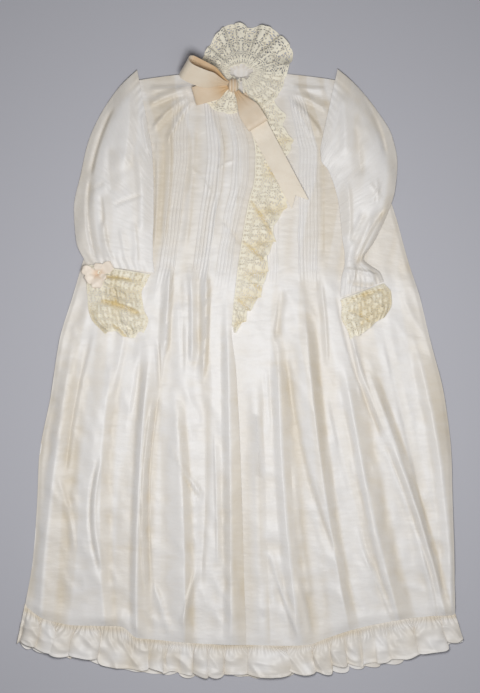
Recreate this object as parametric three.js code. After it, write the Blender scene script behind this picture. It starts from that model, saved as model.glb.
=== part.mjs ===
// Infant's christening gown of ivory silk with lace frills and a ribbon bow, laid flat, face up.
// X runs across the gown, Y from the hem to the neck and Z up from the surface it lies on.
import * as THREE from 'three';

const { clamp, degToRad, lerp, mapLinear, smoothstep } = THREE.MathUtils;

// Driving dimensions in millimetres
const SILK_WALL = 1.2;
const LACE_WALL = 1;
const RIBBON_WALL = 1;
const SEAM_GAP = 0.3;
const ROW_STEP = 47;

// Unevenness of gathers: how far the waves shift along a frill, and how often they do
const COLLAR_SHIFT = { by: 1, often: 9 };
const JABOT_SHIFT = { by: 2, often: 7 };
const RUFFLE_SHIFT = { by: 3, often: 17 };

// Fronts: the wearer's right front laps over the left one along the opening edge
const UNDERLAP = 17;
const LAP_EASE = { from: 7, to: 22 };
const BESIDE_LAP = { from: 4, to: 14 };
const BACK_TOP = SILK_WALL;
const FRONT_SEAT = BACK_TOP + SEAM_GAP;
const FRONT_TOP = FRONT_SEAT + SILK_WALL;
const ON_FRONT = FRONT_TOP + SEAM_GAP;

// Pintucks: fine stitched folds in groups, let go above the skirt
const TUCK_RISE = 1.2;
const TUCK_PITCH = 4;
const TUCK_TOP_Y = 290;
const RELEASE_Y = 94;
const TUCK_FADE = { top: 10, bottom: 30 };
const ON_TUCKS = ON_FRONT + TUCK_RISE;
const ON_LAP = ON_TUCKS + SILK_WALL + SEAM_GAP;

// Neck opening, an ellipse between the shoulders
const NECK = { x: 1, y: 318, halfWidth: 20, depth: 13, backRise: 11 };
const BAND = { halfWidth: 17, halfDepth: 10.5, slant: 8, height: 5, facets: 36 };

// Sections of the body at its side edges, with the bow of each section towards neck or hem
const BODY = [
  { y: 309, left: -118, right: 112, bow: 10 },
  { y: 271, left: -112, right: 104, bow: 4 },
  { y: 231, left: -106, right: 98, bow: 0 },
  { y: 214, left: -143, right: 152, bow: 0 },
  { y: 168, left: -159, right: 174, bow: 0 },
  { y: 99, left: -181, right: 194, bow: 0 },
  { y: 59, left: -193, right: 207, bow: -1 },
  { y: 13, left: -207, right: 218, bow: -4 },
  { y: -56, left: -218, right: 235, bow: -11 },
  { y: -125, left: -231, right: 243, bow: -19 },
  { y: -171, left: -233, right: 244, bow: -25 },
  { y: -240, left: -238, right: 246, bow: -33 },
  { y: -300, left: -247, right: 247, bow: -39 },
];
const SHOULDER = BODY[0];
const UNDERARM = BODY[3];
const HEM = BODY[BODY.length - 1];
const BACK_COLUMNS = 8;

// Edge of the lapping front from the neck to the hem
const OPENING = [
  { y: 300, x: -5 },
  { y: 263, x: 8 },
  { y: 225, x: 17 },
  { y: 197, x: 16 },
  { y: 168, x: 9 },
  { y: 122, x: 1 },
  { y: 78, x: -5 },
  { y: 24, x: -10 },
  { y: -22, x: -5 },
  { y: -114, x: 0 },
  { y: -240, x: 4 },
  { y: -339, x: 7 },
];

// Tuck groups by their distance from the opening edge
const RIGHT_TUCKS = [
  { start: 5, count: 5 },
  { start: 32, count: 5 },
  { start: 71, count: 5 },
];
const LEFT_TUCKS = [
  { start: 32, count: 4 },
  { start: 69, count: 6 },
];

// Right front: away from the opening its tucks run along this straighter line
const TUCK_LINE = [
  { y: 309, x: 6 },
  { y: 270, x: 14 },
  { y: 225, x: 13 },
  { y: 168, x: 6 },
  { y: 94, x: -2.8 },
];
const TUCK_LINE_EASE = { from: 5, to: 75 };

// Left front: its tucks run straight up from where they end, closing in towards the neck
const LEFT_SPREAD = [
  { y: 300, spread: 0.78 },
  { y: 231, spread: 1 },
];

// Soft folds, each a ridge from its upper end to its lower end, bowed sideways by its bend
const FOLD_TAPER = { upper: 0.2, lower: 0.15 };
const RIGHT_FOLDS = [
  { x0: -60, y0: 296, x1: -92, y1: 268, bend: 0, width: 8, height: 2 },
  { x0: -62, y0: 300, x1: -97, y1: 290, bend: 0, width: 7, height: 2 },
  { x0: -80, y0: 262, x1: -89, y1: 120, bend: 3, width: 6, height: 2 },
  { x0: -80, y0: 100, x1: -86, y1: -10, bend: 0, width: 8, height: 4 },
  { x0: -58, y0: 100, x1: -56, y1: -20, bend: 2, width: 8, height: 3 },
  { x0: -40, y0: 100, x1: -44, y1: -40, bend: 3, width: 8, height: 4 },
  { x0: -190, y0: 20, x1: -226, y1: -300, bend: -6, width: 20, height: 5 },
  { x0: -145, y0: 0, x1: -150, y1: -320, bend: -14, width: 24, height: 4 },
  { x0: -104, y0: -2, x1: -117, y1: -320, bend: -6, width: 14, height: 6 },
  { x0: -78, y0: -30, x1: -66, y1: -320, bend: 6, width: 18, height: 5 },
  { x0: -16, y0: 70, x1: -11, y1: -325, bend: 2, width: 15, height: 5 },
];
const LEFT_FOLDS = [
  { x0: 62, y0: 302, x1: 86, y1: 284, bend: 0, width: 8, height: 2 },
  { x0: 60, y0: 285, x1: 82, y1: 244, bend: 0, width: 8, height: 2 },
  { x0: 21, y0: -20, x1: 30, y1: -325, bend: -4, width: 9, height: 4 },
  { x0: 44, y0: 34, x1: 70, y1: -325, bend: -8, width: 17, height: 5 },
  { x0: 72, y0: 78, x1: 126, y1: -318, bend: -8, width: 20, height: 6 },
  { x0: 118, y0: -4, x1: 184, y1: -312, bend: -6, width: 15, height: 6 },
  { x0: 140, y0: -8, x1: 231, y1: -300, bend: 8, width: 15, height: 5 },
  { x0: 196, y0: 26, x1: 236, y1: -296, bend: 14, width: 18, height: 5 },
];

// Sleeves, sections from the armhole to the wrist between the outer and the inner edge
const RIGHT_SLEEVE = [
  { outerX: -118, outerY: 321, innerX: -101, innerY: 231, loft: 1.2 },
  { outerX: -140, outerY: 300, innerX: -100, innerY: 214, loft: 2 },
  { outerX: -161, outerY: 269, innerX: -99, innerY: 191, loft: 2.2 },
  { outerX: -175, outerY: 237, innerX: -99, innerY: 168, loft: 2.2 },
  { outerX: -183, outerY: 202, innerX: -99, innerY: 148, loft: 2.2 },
  { outerX: -191, outerY: 162, innerX: -100, innerY: 128, loft: 2.2 },
  { outerX: -188, outerY: 124, innerX: -101, innerY: 110, loft: 2 },
  { outerX: -176, outerY: 98, innerX: -101, innerY: 99, loft: 1 },
];
const LEFT_SLEEVE = [
  { outerX: 112, outerY: 322, innerX: 92, innerY: 231, loft: 1.2 },
  { outerX: 133, outerY: 304, innerX: 93, innerY: 217, loft: 2 },
  { outerX: 158, outerY: 274, innerX: 101, innerY: 206, loft: 2.2 },
  { outerX: 175, outerY: 245, innerX: 109, innerY: 185, loft: 2.2 },
  { outerX: 181, outerY: 214, innerX: 113, innerY: 168, loft: 2.2 },
  { outerX: 178, outerY: 183, innerX: 115, innerY: 151, loft: 2.2 },
  { outerX: 168, outerY: 153, innerX: 117, innerY: 130, loft: 2 },
  { outerX: 153, outerY: 122, innerX: 120, innerY: 109, loft: 2 },
  { outerX: 142, outerY: 104, innerX: 120, innerY: 98, loft: 1.6 },
  { outerX: 161, outerY: 88, innerX: 116, innerY: 79, loft: 2.4 },
  { outerX: 165, outerY: 78, innerX: 115, innerY: 60, loft: 1 },
];
const RIGHT_CUFF = [
  { outerX: -175, outerY: 76, innerX: -115, innerY: 66, loft: 1.6 },
  { outerX: -175, outerY: 53, innerX: -115, innerY: 47, loft: 1.6 },
  { outerX: -170, outerY: 33, innerX: -109, innerY: 33, loft: 1.6 },
  { outerX: -154, outerY: 14, innerX: -112, innerY: 16, loft: 1.6 },
];
const LEFT_CUFF = [
  { outerX: 174, outerY: 64, innerX: 117, innerY: 42, loft: 1.6 },
  { outerX: 174, outerY: 42, innerX: 121, innerY: 22, loft: 1.6 },
  { outerX: 147, outerY: 20, innerX: 126, innerY: 8, loft: 1.6 },
];

// Lengthwise folds of the sleeves, placed by shares across from the outer edge and along from the armhole
const RIGHT_SLEEVE_FOLDS = [
  { place: 0.3, width: 0.14, start: 0.1, end: 0.75, height: 1.2 },
  { place: 0.55, width: 0.12, start: 0.3, end: 1, height: 1 },
  { place: 0.8, width: 0.12, start: 0, end: 0.6, height: 1 },
];
const LEFT_SLEEVE_FOLDS = [
  { place: 0.22, width: 0.14, start: 0.25, end: 0.8, height: 1.2 },
  { place: 0.5, width: 0.14, start: 0, end: 0.5, height: 1 },
  { place: 0.72, width: 0.14, start: 0.35, end: 1, height: 1.2 },
];
const SLEEVE_COLUMNS = 12;
const CUFF_COLUMNS = 18;
const CUFF_WAVES = 6;
const TUBE_EDGE = 0.6;
const LOFT_FULLNESS = 0.6;
const SIDE_EASE = { from: 8, to: 28 };

// Lace frill round the neck: reach from the neck's middle by angle, counted from the wearer's left
const COLLAR = [
  { angle: -84, reach: 44, wave: 1.2 },
  { angle: -50, reach: 50, wave: 1.5 },
  { angle: 0, reach: 54, wave: 2 },
  { angle: 28, reach: 65, wave: 4 },
  { angle: 62, reach: 61, wave: 6 },
  { angle: 78, reach: 53, wave: 5 },
  { angle: 92, reach: 58, wave: 6 },
  { angle: 145, reach: 47, wave: 4 },
  { angle: 180, reach: 48, wave: 2 },
  { angle: 230, reach: 52, wave: 1.5 },
  { angle: 264, reach: 46, wave: 1.2 },
];
const COLLAR_WAVES = 13;
const COLLAR_COLUMNS = 78;
const COLLAR_ROWS = 3;
const COLLAR_FALL = { from: 7, to: 20 };
const COLLAR_SCALLOPS = 26;
const SCALLOP_DEPTH = 2.5;

// Lace jabot along the opening edge: reach of the free edge, its drop towards the hem, its waves
const JABOT = [
  { y: 288, reach: 40, drop: 0, rise: 0.1 },
  { y: 277, reach: 31, drop: 0, rise: 0.1 },
  { y: 262, reach: 24, drop: 2, rise: 1.4 },
  { y: 247, reach: 31, drop: 2, rise: 2 },
  { y: 224, reach: 39, drop: 2, rise: 2.6 },
  { y: 197, reach: 40, drop: 3, rise: 2.6 },
  { y: 168, reach: 46, drop: 2, rise: 2.6 },
  { y: 145, reach: 40, drop: 0, rise: 2.6 },
  { y: 99, reach: 37, drop: 1, rise: 2.6 },
  { y: 78, reach: 35, drop: 3, rise: 2.6 },
  { y: 61, reach: 27, drop: 5, rise: 2.6 },
  { y: 44, reach: 18, drop: 6, rise: 2.6 },
  { y: 27, reach: 4, drop: 8, rise: 2.6 },
];
const JABOT_ROWS = 44;
const JABOT_COLUMNS = 4;
const JABOT_DRAW = 0.1;
const JABOT_WAVES = 8;

// Gathered ruffles along the hem
const RUFFLE_DEPTH = 37;
const RUFFLE_SPREAD = 9;
const RUFFLE_DRAW = 0.04;
const FRONT_RUFFLE = { waves: 22, rise: 4, columns: 110, depth: RUFFLE_DEPTH - 2 };
const BACK_RUFFLE = { waves: 20, rise: 1.6, columns: 60, depth: RUFFLE_DEPTH };

// Ribbon bow at the neck, and a rosette of narrower ribbon at the right wrist
const RIBBON_WIDTH = 25;
const RIBBON_ROOT = 2.2;
const GATHERED_SHARE = 0.25;
const KNOT = { x: -8, y: 302, halfWidth: 5.5, halfLength: 8, halfHeight: 4.4, facets: 14, rings: 9 };
const BOW_LOOPS = [
  {
    name: 'bow_loop_standing',
    turn: 154,
    length: 58,
    opening: 18,
    width: 25,
    gather: 0.62,
    tilt: -42,
    pitch: 11,
  },
  { name: 'bow_loop_flat', turn: 203, length: 42, opening: 6, width: 19, gather: 0.8, tilt: 0, pitch: 0 },
  { name: 'bow_loop_front', turn: -58, length: 50, opening: 7, width: 25, gather: 0.7, tilt: 0, pitch: 0 },
];
const TAIL = { x0: 2, y0: 292, x1: 69, y1: 166, rows: 10, notch: 12, gatheredRows: 3, gathered: 0.5 };
const RIBBON_REACH = 0.6 * RIBBON_WIDTH;
const ROSETTE = { x: -163, y: 87, radius: 14, eye: 1.5, petals: 6, lobe: 2.5, rise: 3, columns: 30, rows: 3 };

const silk = new THREE.MeshStandardMaterial({ color: 0xece6dc, roughness: 0.5, metalness: 0 });
const lace = new THREE.MeshStandardMaterial({ color: 0xe2d8bb, roughness: 0.8, metalness: 0 });
const ribbon = new THREE.MeshStandardMaterial({ color: 0xdcc9a6, roughness: 0.6, metalness: 0 });
const rosetteRibbon = new THREE.MeshStandardMaterial({ color: 0xe6cfb8, roughness: 0.6, metalness: 0 });

const gown = new THREE.Group();

function addPiece(name, geometry, material) {
  const piece = new THREE.Mesh(geometry, material.clone());
  piece.name = name;
  gown.add(piece);
  return geometry;
}

// One column of a table at a place along it, its rows in order of the key column
function columnAt(rows, key, place, column) {
  const falling = rows[0][key] > rows[1][key];
  const passed = (row) => (falling ? row[key] <= place : row[key] >= place);
  const next = rows.findIndex(passed);
  if (next === 0) return rows[0][column];
  if (next < 0) return rows[rows.length - 1][column];
  const before = rows[next - 1];
  const after = rows[next];
  return mapLinear(place, before[key], after[key], before[column], after[column]);
}

function steps(count) {
  return Array.from({ length: count + 1 }, (_, i) => i / count);
}

// Closed wall between an under side and an upper side, both rows of points; a round one closes on itself
function wallSolid(under, upper, round = false) {
  const rows = under.length;
  const columns = under[0].length;
  const points = [...under.flat(), ...upper.flat()];
  const low = (i, j) => i * columns + (j % columns);
  const high = (i, j) => rows * columns + low(i, j);
  const faces = [];
  const quad = (a, b, c, d) => faces.push(a, b, c, a, c, d);
  const spans = round ? columns : columns - 1;
  for (let i = 0; i < rows - 1; i += 1) {
    for (let j = 0; j < spans; j += 1) {
      quad(high(i, j), high(i + 1, j), high(i + 1, j + 1), high(i, j + 1));
      quad(low(i, j), low(i, j + 1), low(i + 1, j + 1), low(i + 1, j));
    }
    if (round) continue;
    quad(low(i, 0), low(i + 1, 0), high(i + 1, 0), high(i, 0));
    quad(low(i + 1, spans), low(i, spans), high(i, spans), high(i + 1, spans));
  }
  for (let j = 0; j < spans; j += 1) {
    quad(low(0, j + 1), low(0, j), high(0, j), high(0, j + 1));
    quad(low(rows - 1, j), low(rows - 1, j + 1), high(rows - 1, j + 1), high(rows - 1, j));
  }
  return facingOut(points, faces);
}

// Geometry of a closed shell, turned so that its faces point outwards
function facingOut(points, faces) {
  const corner = (k) => new THREE.Vector3(...points[faces[k]]);
  let volume = 0;
  for (let k = 0; k < faces.length; k += 3) {
    volume += corner(k).dot(corner(k + 1).cross(corner(k + 2)));
  }
  const index = volume > 0 ? faces : [...faces].reverse();
  const geometry = new THREE.BufferGeometry();
  geometry.setAttribute('position', new THREE.Float32BufferAttribute(points.flat(), 3));
  geometry.setIndex(index);
  return geometry;
}

// Wall of even thickness on an under side
function sheet(under, thickness, round = false) {
  const upper = under.map((row) => row.map(([x, y, z]) => [x, y, z + thickness]));
  return wallSolid(under, upper, round);
}

// Height of the soft folds of a panel at one point
function foldRise(folds, x, y) {
  let rise = 0;
  for (const fold of folds) {
    const along = (fold.y0 - y) / (fold.y0 - fold.y1);
    if (along <= 0 || along >= 1) continue;
    const middle = lerp(fold.x0, fold.x1, along) + fold.bend * 4 * along * (1 - along);
    const across = (x - middle) / fold.width;
    if (Math.abs(across) >= 1) continue;
    const taper = smoothstep(along, 0, FOLD_TAPER.upper) * smoothstep(1 - along, 0, FOLD_TAPER.lower);
    rise += fold.height * taper * Math.cos((across * Math.PI) / 2) ** 2;
  }
  return rise;
}

// Levels of the body's rows: each section, and more between those that lie far apart
function bodyLevels() {
  const levels = [BODY[0].y];
  for (let i = 1; i < BODY.length; i += 1) {
    const count = Math.ceil((BODY[i - 1].y - BODY[i].y) / ROW_STEP);
    for (let k = 1; k <= count; k += 1) levels.push(lerp(BODY[i - 1].y, BODY[i].y, k / count));
  }
  return levels;
}

const bodyAt = (level, column) => columnAt(BODY, 'y', level, column);
const openingAt = (y) => columnAt(OPENING, 'y', y, 'x');

// Height on the gown of a point of a section that bows between its side edges
function bowedY(level, x) {
  const across = mapLinear(x, bodyAt(level, 'left'), bodyAt(level, 'right'), -1, 1);
  return level + bodyAt(level, 'bow') * (1 - across * across);
}

// Share of its skirt width that a front has at a level, against its width where the tucks end
function fanAt(side, level) {
  const widthAt = (place) => Math.abs(bodyAt(place, side) - openingAt(place));
  return level < RELEASE_Y ? widthAt(level) / widthAt(RELEASE_Y) : 1;
}

// Place across of a left front's column, given by its distance from the opening
function leftColumnX(distance, level) {
  if (level < RELEASE_Y) return openingAt(level + bodyAt(level, 'bow')) + distance * fanAt('right', level);
  return (distance + openingAt(RELEASE_Y)) * columnAt(LEFT_SPREAD, 'y', level, 'spread');
}

function rightColumnX(distance, level) {
  const edge = openingAt(level + bodyAt(level, 'bow'));
  if (level < RELEASE_Y) return edge - distance * fanAt('left', level);
  const away = smoothstep(distance, TUCK_LINE_EASE.from, TUCK_LINE_EASE.to);
  return lerp(edge, columnAt(TUCK_LINE, 'y', level, 'x'), away) - distance;
}

// Edge of the lapping front as its panel has it, a point for each of its rows
const lapEdge = bodyLevels().map((level) => {
  const x = rightColumnX(0, level);
  return { x, y: bowedY(level, x) };
});

// Front neckline, an ellipse cut into the shoulder section
function frontNeckY(x, y) {
  const across = (x - NECK.x) / NECK.halfWidth;
  if (Math.abs(across) >= 1) return y;
  return Math.min(y, NECK.y - NECK.depth * Math.sqrt(1 - across * across));
}

function backNeckY(x, y) {
  const across = clamp((x - NECK.x) / (NECK.halfWidth + NECK.backRise), -1, 1);
  return y + NECK.backRise * (1 - across * across);
}

// Columns of a front by distance from the opening edge; the crest of each tuck is marked
function tuckColumns(groups, firstColumns) {
  const columns = firstColumns.map((distance) => ({ distance, crest: 0 }));
  for (const group of groups) {
    for (let k = 0; k <= 2 * group.count; k += 1) {
      columns.push({ distance: group.start + (k * TUCK_PITCH) / 2, crest: k % 2 });
    }
  }
  return columns;
}

// One front panel: tucked columns beside the opening, plain ones out to the side seam
function frontPanel({ side, columns, columnX, plainColumns, folds, liftAt, foldShareAt }) {
  const under = [];
  const upper = [];
  for (const level of bodyLevels()) {
    const released = smoothstep(level, RELEASE_Y - TUCK_FADE.bottom, RELEASE_Y);
    const tucked = released * smoothstep(TUCK_TOP_Y - level, 0, TUCK_FADE.top);
    const places = columns.map(({ distance, crest }) => ({ x: columnX(distance, level), crest }));
    const lastTuck = places[places.length - 1].x;
    for (const share of steps(plainColumns).slice(1)) {
      places.push({ x: lerp(lastTuck, bodyAt(level, side), share), crest: 0 });
    }
    const underRow = [];
    const upperRow = [];
    for (const { x, crest } of places) {
      const bowed = bowedY(level, x);
      const y = level === SHOULDER.y ? frontNeckY(x, bowed) : bowed;
      const z = FRONT_SEAT + liftAt(x, level) + foldShareAt(x, level) * foldRise(folds, x, y);
      underRow.push([x, y, z]);
      upperRow.push([x, y, z + SILK_WALL + TUCK_RISE * crest * tucked]);
    }
    under.push(underRow);
    upper.push(upperRow);
  }
  return wallSolid(under, upper);
}

// The right front rises over the hidden edge of the left one
function lapLift(x, level) {
  const hidden = leftColumnX(-UNDERLAP, level);
  return (SILK_WALL + SEAM_GAP) * smoothstep(x, hidden - LAP_EASE.to, hidden - LAP_EASE.from);
}

// The left front lies flat under the lap and close beside it
function besideLap(x, level) {
  const fromEdge = x - rightColumnX(0, level);
  return smoothstep(fromEdge, BESIDE_LAP.from, BESIDE_LAP.to);
}

function backPanel() {
  const under = bodyLevels().map((level) => steps(BACK_COLUMNS).map((share) => {
    const x = lerp(bodyAt(level, 'left'), bodyAt(level, 'right'), share);
    const y = bowedY(level, x);
    return [x, level === SHOULDER.y ? backNeckY(x, y) : y, 0];
  }));
  return sheet(under, SILK_WALL);
}

// Layer that a sleeve lies on: the fronts over the body, easing down to the surface beside it
function sleeveSeat(x, y) {
  const edgeAt = (side) => (y > UNDERARM.y
    ? mapLinear(y, SHOULDER.y, UNDERARM.y, SHOULDER[side], UNDERARM[side])
    : bodyAt(y, side));
  const beyond = Math.max(edgeAt('left') - x, x - edgeAt('right'));
  return ON_FRONT * (1 - smoothstep(beyond, SIDE_EASE.from, SIDE_EASE.to));
}

// Flattened tube open at both ends: its lower layer lies on the seat, its upper layer lofts a little
function flatTube(rows, columns, wall, waveAt = () => 0) {
  const loops = { outer: [], inner: [] };
  for (const [i, row] of rows.entries()) {
    const width = Math.hypot(row.innerX - row.outerX, row.innerY - row.outerY);
    for (const name of ['outer', 'inner']) {
      const inset = name === 'inner' ? wall : 0;
      const lower = [];
      const upper = [];
      for (const share of steps(columns)) {
        const place = lerp(inset / width, 1 - inset / width, share);
        const x = lerp(row.outerX, row.innerX, place);
        const y = lerp(row.outerY, row.innerY, place);
        const base = sleeveSeat(x, y);
        const fullness = row.loft * Math.sin(Math.PI * place) ** LOFT_FULLNESS;
        const loft = TUBE_EDGE + fullness + waveAt(place, i / (rows.length - 1));
        lower.push([x, y, base + inset]);
        upper.push([x, y, base + 2 * wall + loft - inset]);
      }
      loops[name].push([...upper, ...lower.reverse()]);
    }
  }
  return tubeSolid(loops.outer, loops.inner);
}

// Rise of a sleeve's folds at a place across and along it
function sleeveWave(folds) {
  return (place, along) => {
    let rise = 0;
    for (const fold of folds) {
      const within = mapLinear(along, fold.start, fold.end, 0, 1);
      const across = (place - fold.place) / fold.width;
      if (within <= 0 || within >= 1 || Math.abs(across) >= 1) continue;
      rise += fold.height * Math.sin(Math.PI * within) * Math.cos((across * Math.PI) / 2) ** 2;
    }
    return rise;
  };
}

// Closed wall between an outer and an inner tube of the same rows and columns
function tubeSolid(outer, inner) {
  const rows = outer.length;
  const around = outer[0].length;
  const points = [...outer.flat(), ...inner.flat()];
  const out = (i, j) => i * around + (j % around);
  const into = (i, j) => rows * around + out(i, j);
  const faces = [];
  const quad = (a, b, c, d) => faces.push(a, b, c, a, c, d);
  for (let j = 0; j < around; j += 1) {
    for (let i = 0; i < rows - 1; i += 1) {
      quad(out(i, j), out(i + 1, j), out(i + 1, j + 1), out(i, j + 1));
      quad(into(i, j), into(i, j + 1), into(i + 1, j + 1), into(i + 1, j));
    }
    quad(out(0, j), out(0, j + 1), into(0, j + 1), into(0, j));
    quad(out(rows - 1, j + 1), out(rows - 1, j), into(rows - 1, j), into(rows - 1, j + 1));
  }
  return facingOut(points, faces);
}

// Lace cuff that continues a sleeve from its wrist
function cuffLace(sleeve, rows) {
  const wrist = sleeve[sleeve.length - 1];
  const gap = 2 * SEAM_GAP;
  const start = { ...wrist, outerY: wrist.outerY - gap, innerY: wrist.innerY - gap };
  const ripple = (place, along) => along * (0.5 - 0.5 * Math.cos(2 * Math.PI * CUFF_WAVES * place));
  return flatTube([start, ...rows], CUFF_COLUMNS, LACE_WALL, ripple);
}

// Neckband standing a little open round the neck
function neckband() {
  const { halfWidth, halfDepth, slant, height, facets } = BAND;
  const profile = [
    new THREE.Vector2(halfWidth - slant - SILK_WALL, 0),
    new THREE.Vector2(halfWidth - slant, 0),
    new THREE.Vector2(halfWidth, height),
    new THREE.Vector2(halfWidth - SILK_WALL, height),
    new THREE.Vector2(halfWidth - slant - SILK_WALL, 0),
  ];
  const band = new THREE.LatheGeometry(profile, facets);
  band.rotateX(Math.PI / 2);
  band.scale(1, halfDepth / halfWidth, 1);
  band.translate(NECK.x, NECK.y, FRONT_SEAT);
  return band;
}

// Wave of gathered cloth at a share of its length, from 0 to 1, unevenly spaced
function gatherWave(waves, shift, share) {
  return 0.5 - 0.5 * Math.cos(2 * Math.PI * waves * share + shift.by * Math.sin(shift.often * share));
}

// Gathered lace round the neck, from the top of the band out over the fronts and the surface behind
function collarLace() {
  const first = COLLAR[0].angle;
  const last = COLLAR[COLLAR.length - 1].angle;
  const bandTop = FRONT_SEAT + BAND.height - LACE_WALL;
  const under = steps(COLLAR_ROWS).map((along) => steps(COLLAR_COLUMNS).map((share) => {
    const angle = lerp(first, last, share);
    const turn = degToRad(angle);
    const scallop = SCALLOP_DEPTH * Math.abs(Math.sin(Math.PI * COLLAR_SCALLOPS * share)) ** 0.5;
    const reach = columnAt(COLLAR, 'angle', angle, 'reach') - SCALLOP_DEPTH + scallop;
    const innerX = (BAND.halfWidth + 2 * SEAM_GAP) * Math.cos(turn);
    const innerY = (BAND.halfDepth + 2 * SEAM_GAP) * Math.sin(turn);
    const x = NECK.x + lerp(innerX, reach * Math.cos(turn), along);
    const y = NECK.y + lerp(innerY, reach * Math.sin(turn), along);
    const seat = ON_LAP * (1 - smoothstep(y - NECK.y, COLLAR_FALL.from, COLLAR_FALL.to));
    const wave = gatherWave(COLLAR_WAVES, COLLAR_SHIFT, share);
    const rise = columnAt(COLLAR, 'angle', angle, 'wave') * wave * along;
    return [x, y, lerp(bandTop, seat, smoothstep(along, 0, 0.9)) + rise];
  }));
  return sheet(under, LACE_WALL);
}

// Gathered lace sewn along the opening edge
function jabotLace() {
  const top = JABOT[0].y;
  const bottom = JABOT[JABOT.length - 1].y;
  const under = steps(JABOT_ROWS).map((along) => {
    const y = lerp(top, bottom, along);
    const fullReach = columnAt(JABOT, 'y', y, 'reach');
    const drop = columnAt(JABOT, 'y', y, 'drop');
    const rise = columnAt(JABOT, 'y', y, 'rise');
    const wave = gatherWave(JABOT_WAVES, JABOT_SHIFT, along);
    const reach = fullReach * (1 - JABOT_DRAW * wave);
    return steps(JABOT_COLUMNS).map((share) => {
      const x = columnAt(lapEdge, 'y', y, 'x') + 2 * SEAM_GAP + reach * share;
      return [x, y - drop * share, ON_TUCKS + rise * wave * share];
    });
  });
  return sheet(under, LACE_WALL);
}

// Gathered strip along the hem, its waves growing towards its free edge
function hemRuffle({ waves, rise, columns, depth }, seat, seatRise) {
  const gap = 2 * SEAM_GAP;
  const under = steps(2).map((along) => steps(columns).map((share) => {
    const seamX = lerp(HEM.left, HEM.right, share);
    const wave = gatherWave(waves, RUFFLE_SHIFT, share);
    const x = lerp(HEM.left - RUFFLE_SPREAD * along, HEM.right + RUFFLE_SPREAD * along, share);
    const y = bowedY(HEM.y, seamX) - gap - depth * along * (1 - RUFFLE_DRAW * (1 - wave));
    return [x, y, seat + along * (seatRise + rise * wave)];
  }));
  return sheet(under, SILK_WALL);
}

// Highest point of some geometries within a circle
function highestWithin(geometries, x, y, radius) {
  let highest = 0;
  for (const geometry of geometries) {
    const position = geometry.getAttribute('position');
    for (let k = 0; k < position.count; k += 1) {
      const apart = Math.hypot(position.getX(k) - x, position.getY(k) - y);
      if (apart <= radius) highest = Math.max(highest, position.getZ(k));
    }
  }
  return highest;
}

// Knot of the bow, a small wrapped lump over the band's front
function bowKnot(middle) {
  const knot = new THREE.SphereGeometry(1, KNOT.facets, KNOT.rings);
  knot.scale(KNOT.halfWidth, KNOT.halfLength, KNOT.halfHeight);
  knot.translate(KNOT.x, KNOT.y, middle);
  return knot;
}

// Loop of ribbon: out from the knot, round and back, narrow where the knot gathers it.
// A tilted loop stands out of the knot's side, a flat one lies on what is under it.
function ribbonLoop({ turn, length, opening, width, gather, tilt, pitch }, knotMiddle, seatUnder) {
  const wall = RIBBON_WALL;
  const bend = 0.8 * length;
  const outline = new THREE.Shape();
  outline.moveTo(0, 0);
  outline.lineTo(bend, 0);
  outline.bezierCurveTo(length, 0, length, opening, bend, opening);
  outline.bezierCurveTo(0.5 * length, opening, 0.25 * length, 0.6 * opening, 0, RIBBON_ROOT);
  outline.closePath();
  const hollow = new THREE.Path();
  hollow.moveTo(0.2 * length, wall);
  const ceiling = opening - wall;
  hollow.bezierCurveTo(0.3 * length, 0.6 * opening - wall, 0.5 * length, ceiling, bend, ceiling);
  hollow.bezierCurveTo(length - wall, ceiling, length - wall, wall, bend, wall);
  hollow.closePath();
  outline.holes.push(hollow);
  const loop = new THREE.ExtrudeGeometry(outline, { depth: width, bevelEnabled: false, curveSegments: 8 });
  loop.translate(0, 0, -width / 2);
  loop.rotateX(Math.PI / 2);
  const position = loop.getAttribute('position');
  for (let k = 0; k < position.count; k += 1) {
    const gathered = lerp(GATHERED_SHARE, 1, smoothstep(position.getX(k), 0, gather * length));
    position.setY(k, position.getY(k) * gathered);
  }
  loop.rotateX(degToRad(tilt));
  loop.rotateY(-degToRad(pitch));
  loop.rotateZ(degToRad(turn));
  const wayX = Math.cos(degToRad(turn));
  const wayY = Math.sin(degToRad(turn));
  const clear = Math.hypot(KNOT.halfWidth * wayX, KNOT.halfLength * wayY) + SEAM_GAP;
  const startX = KNOT.x + clear * wayX;
  const startY = KNOT.y + clear * wayY;
  let seat = 0;
  for (const share of steps(4)) {
    const x = startX + share * length * wayX;
    const y = startY + share * length * wayY;
    seat = Math.max(seat, highestWithin(seatUnder, x, y, RIBBON_REACH));
  }
  loop.computeBoundingBox();
  const lift = tilt ? knotMiddle : seat + SEAM_GAP - loop.boundingBox.min.z;
  loop.translate(startX, startY, lift);
  return loop;
}

// Long tail of the bow, lying over the jabot, with a notched end
function bowTail(seatUnder) {
  const along = new THREE.Vector2(TAIL.x1 - TAIL.x0, TAIL.y1 - TAIL.y0);
  const length = along.length();
  along.normalize();
  const middles = steps(TAIL.rows).map((share) => {
    const x = lerp(TAIL.x0, TAIL.x1, share);
    const y = lerp(TAIL.y0, TAIL.y1, share);
    return { x, y, seat: highestWithin(seatUnder, x, y, RIBBON_REACH + length / TAIL.rows) };
  });
  const under = middles.map(({ x, y, seat }, i) => [-1, 0, 1].map((side) => {
    const gathered = lerp(TAIL.gathered, 1, smoothstep(i, 0, TAIL.gatheredRows));
    const offset = (side * gathered * RIBBON_WIDTH) / 2;
    const back = i === TAIL.rows && side === 0 ? TAIL.notch : 0;
    return [x - along.y * offset - along.x * back, y + along.x * offset - along.y * back, seat + SEAM_GAP];
  }));
  return sheet(under, RIBBON_WALL);
}

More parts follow.
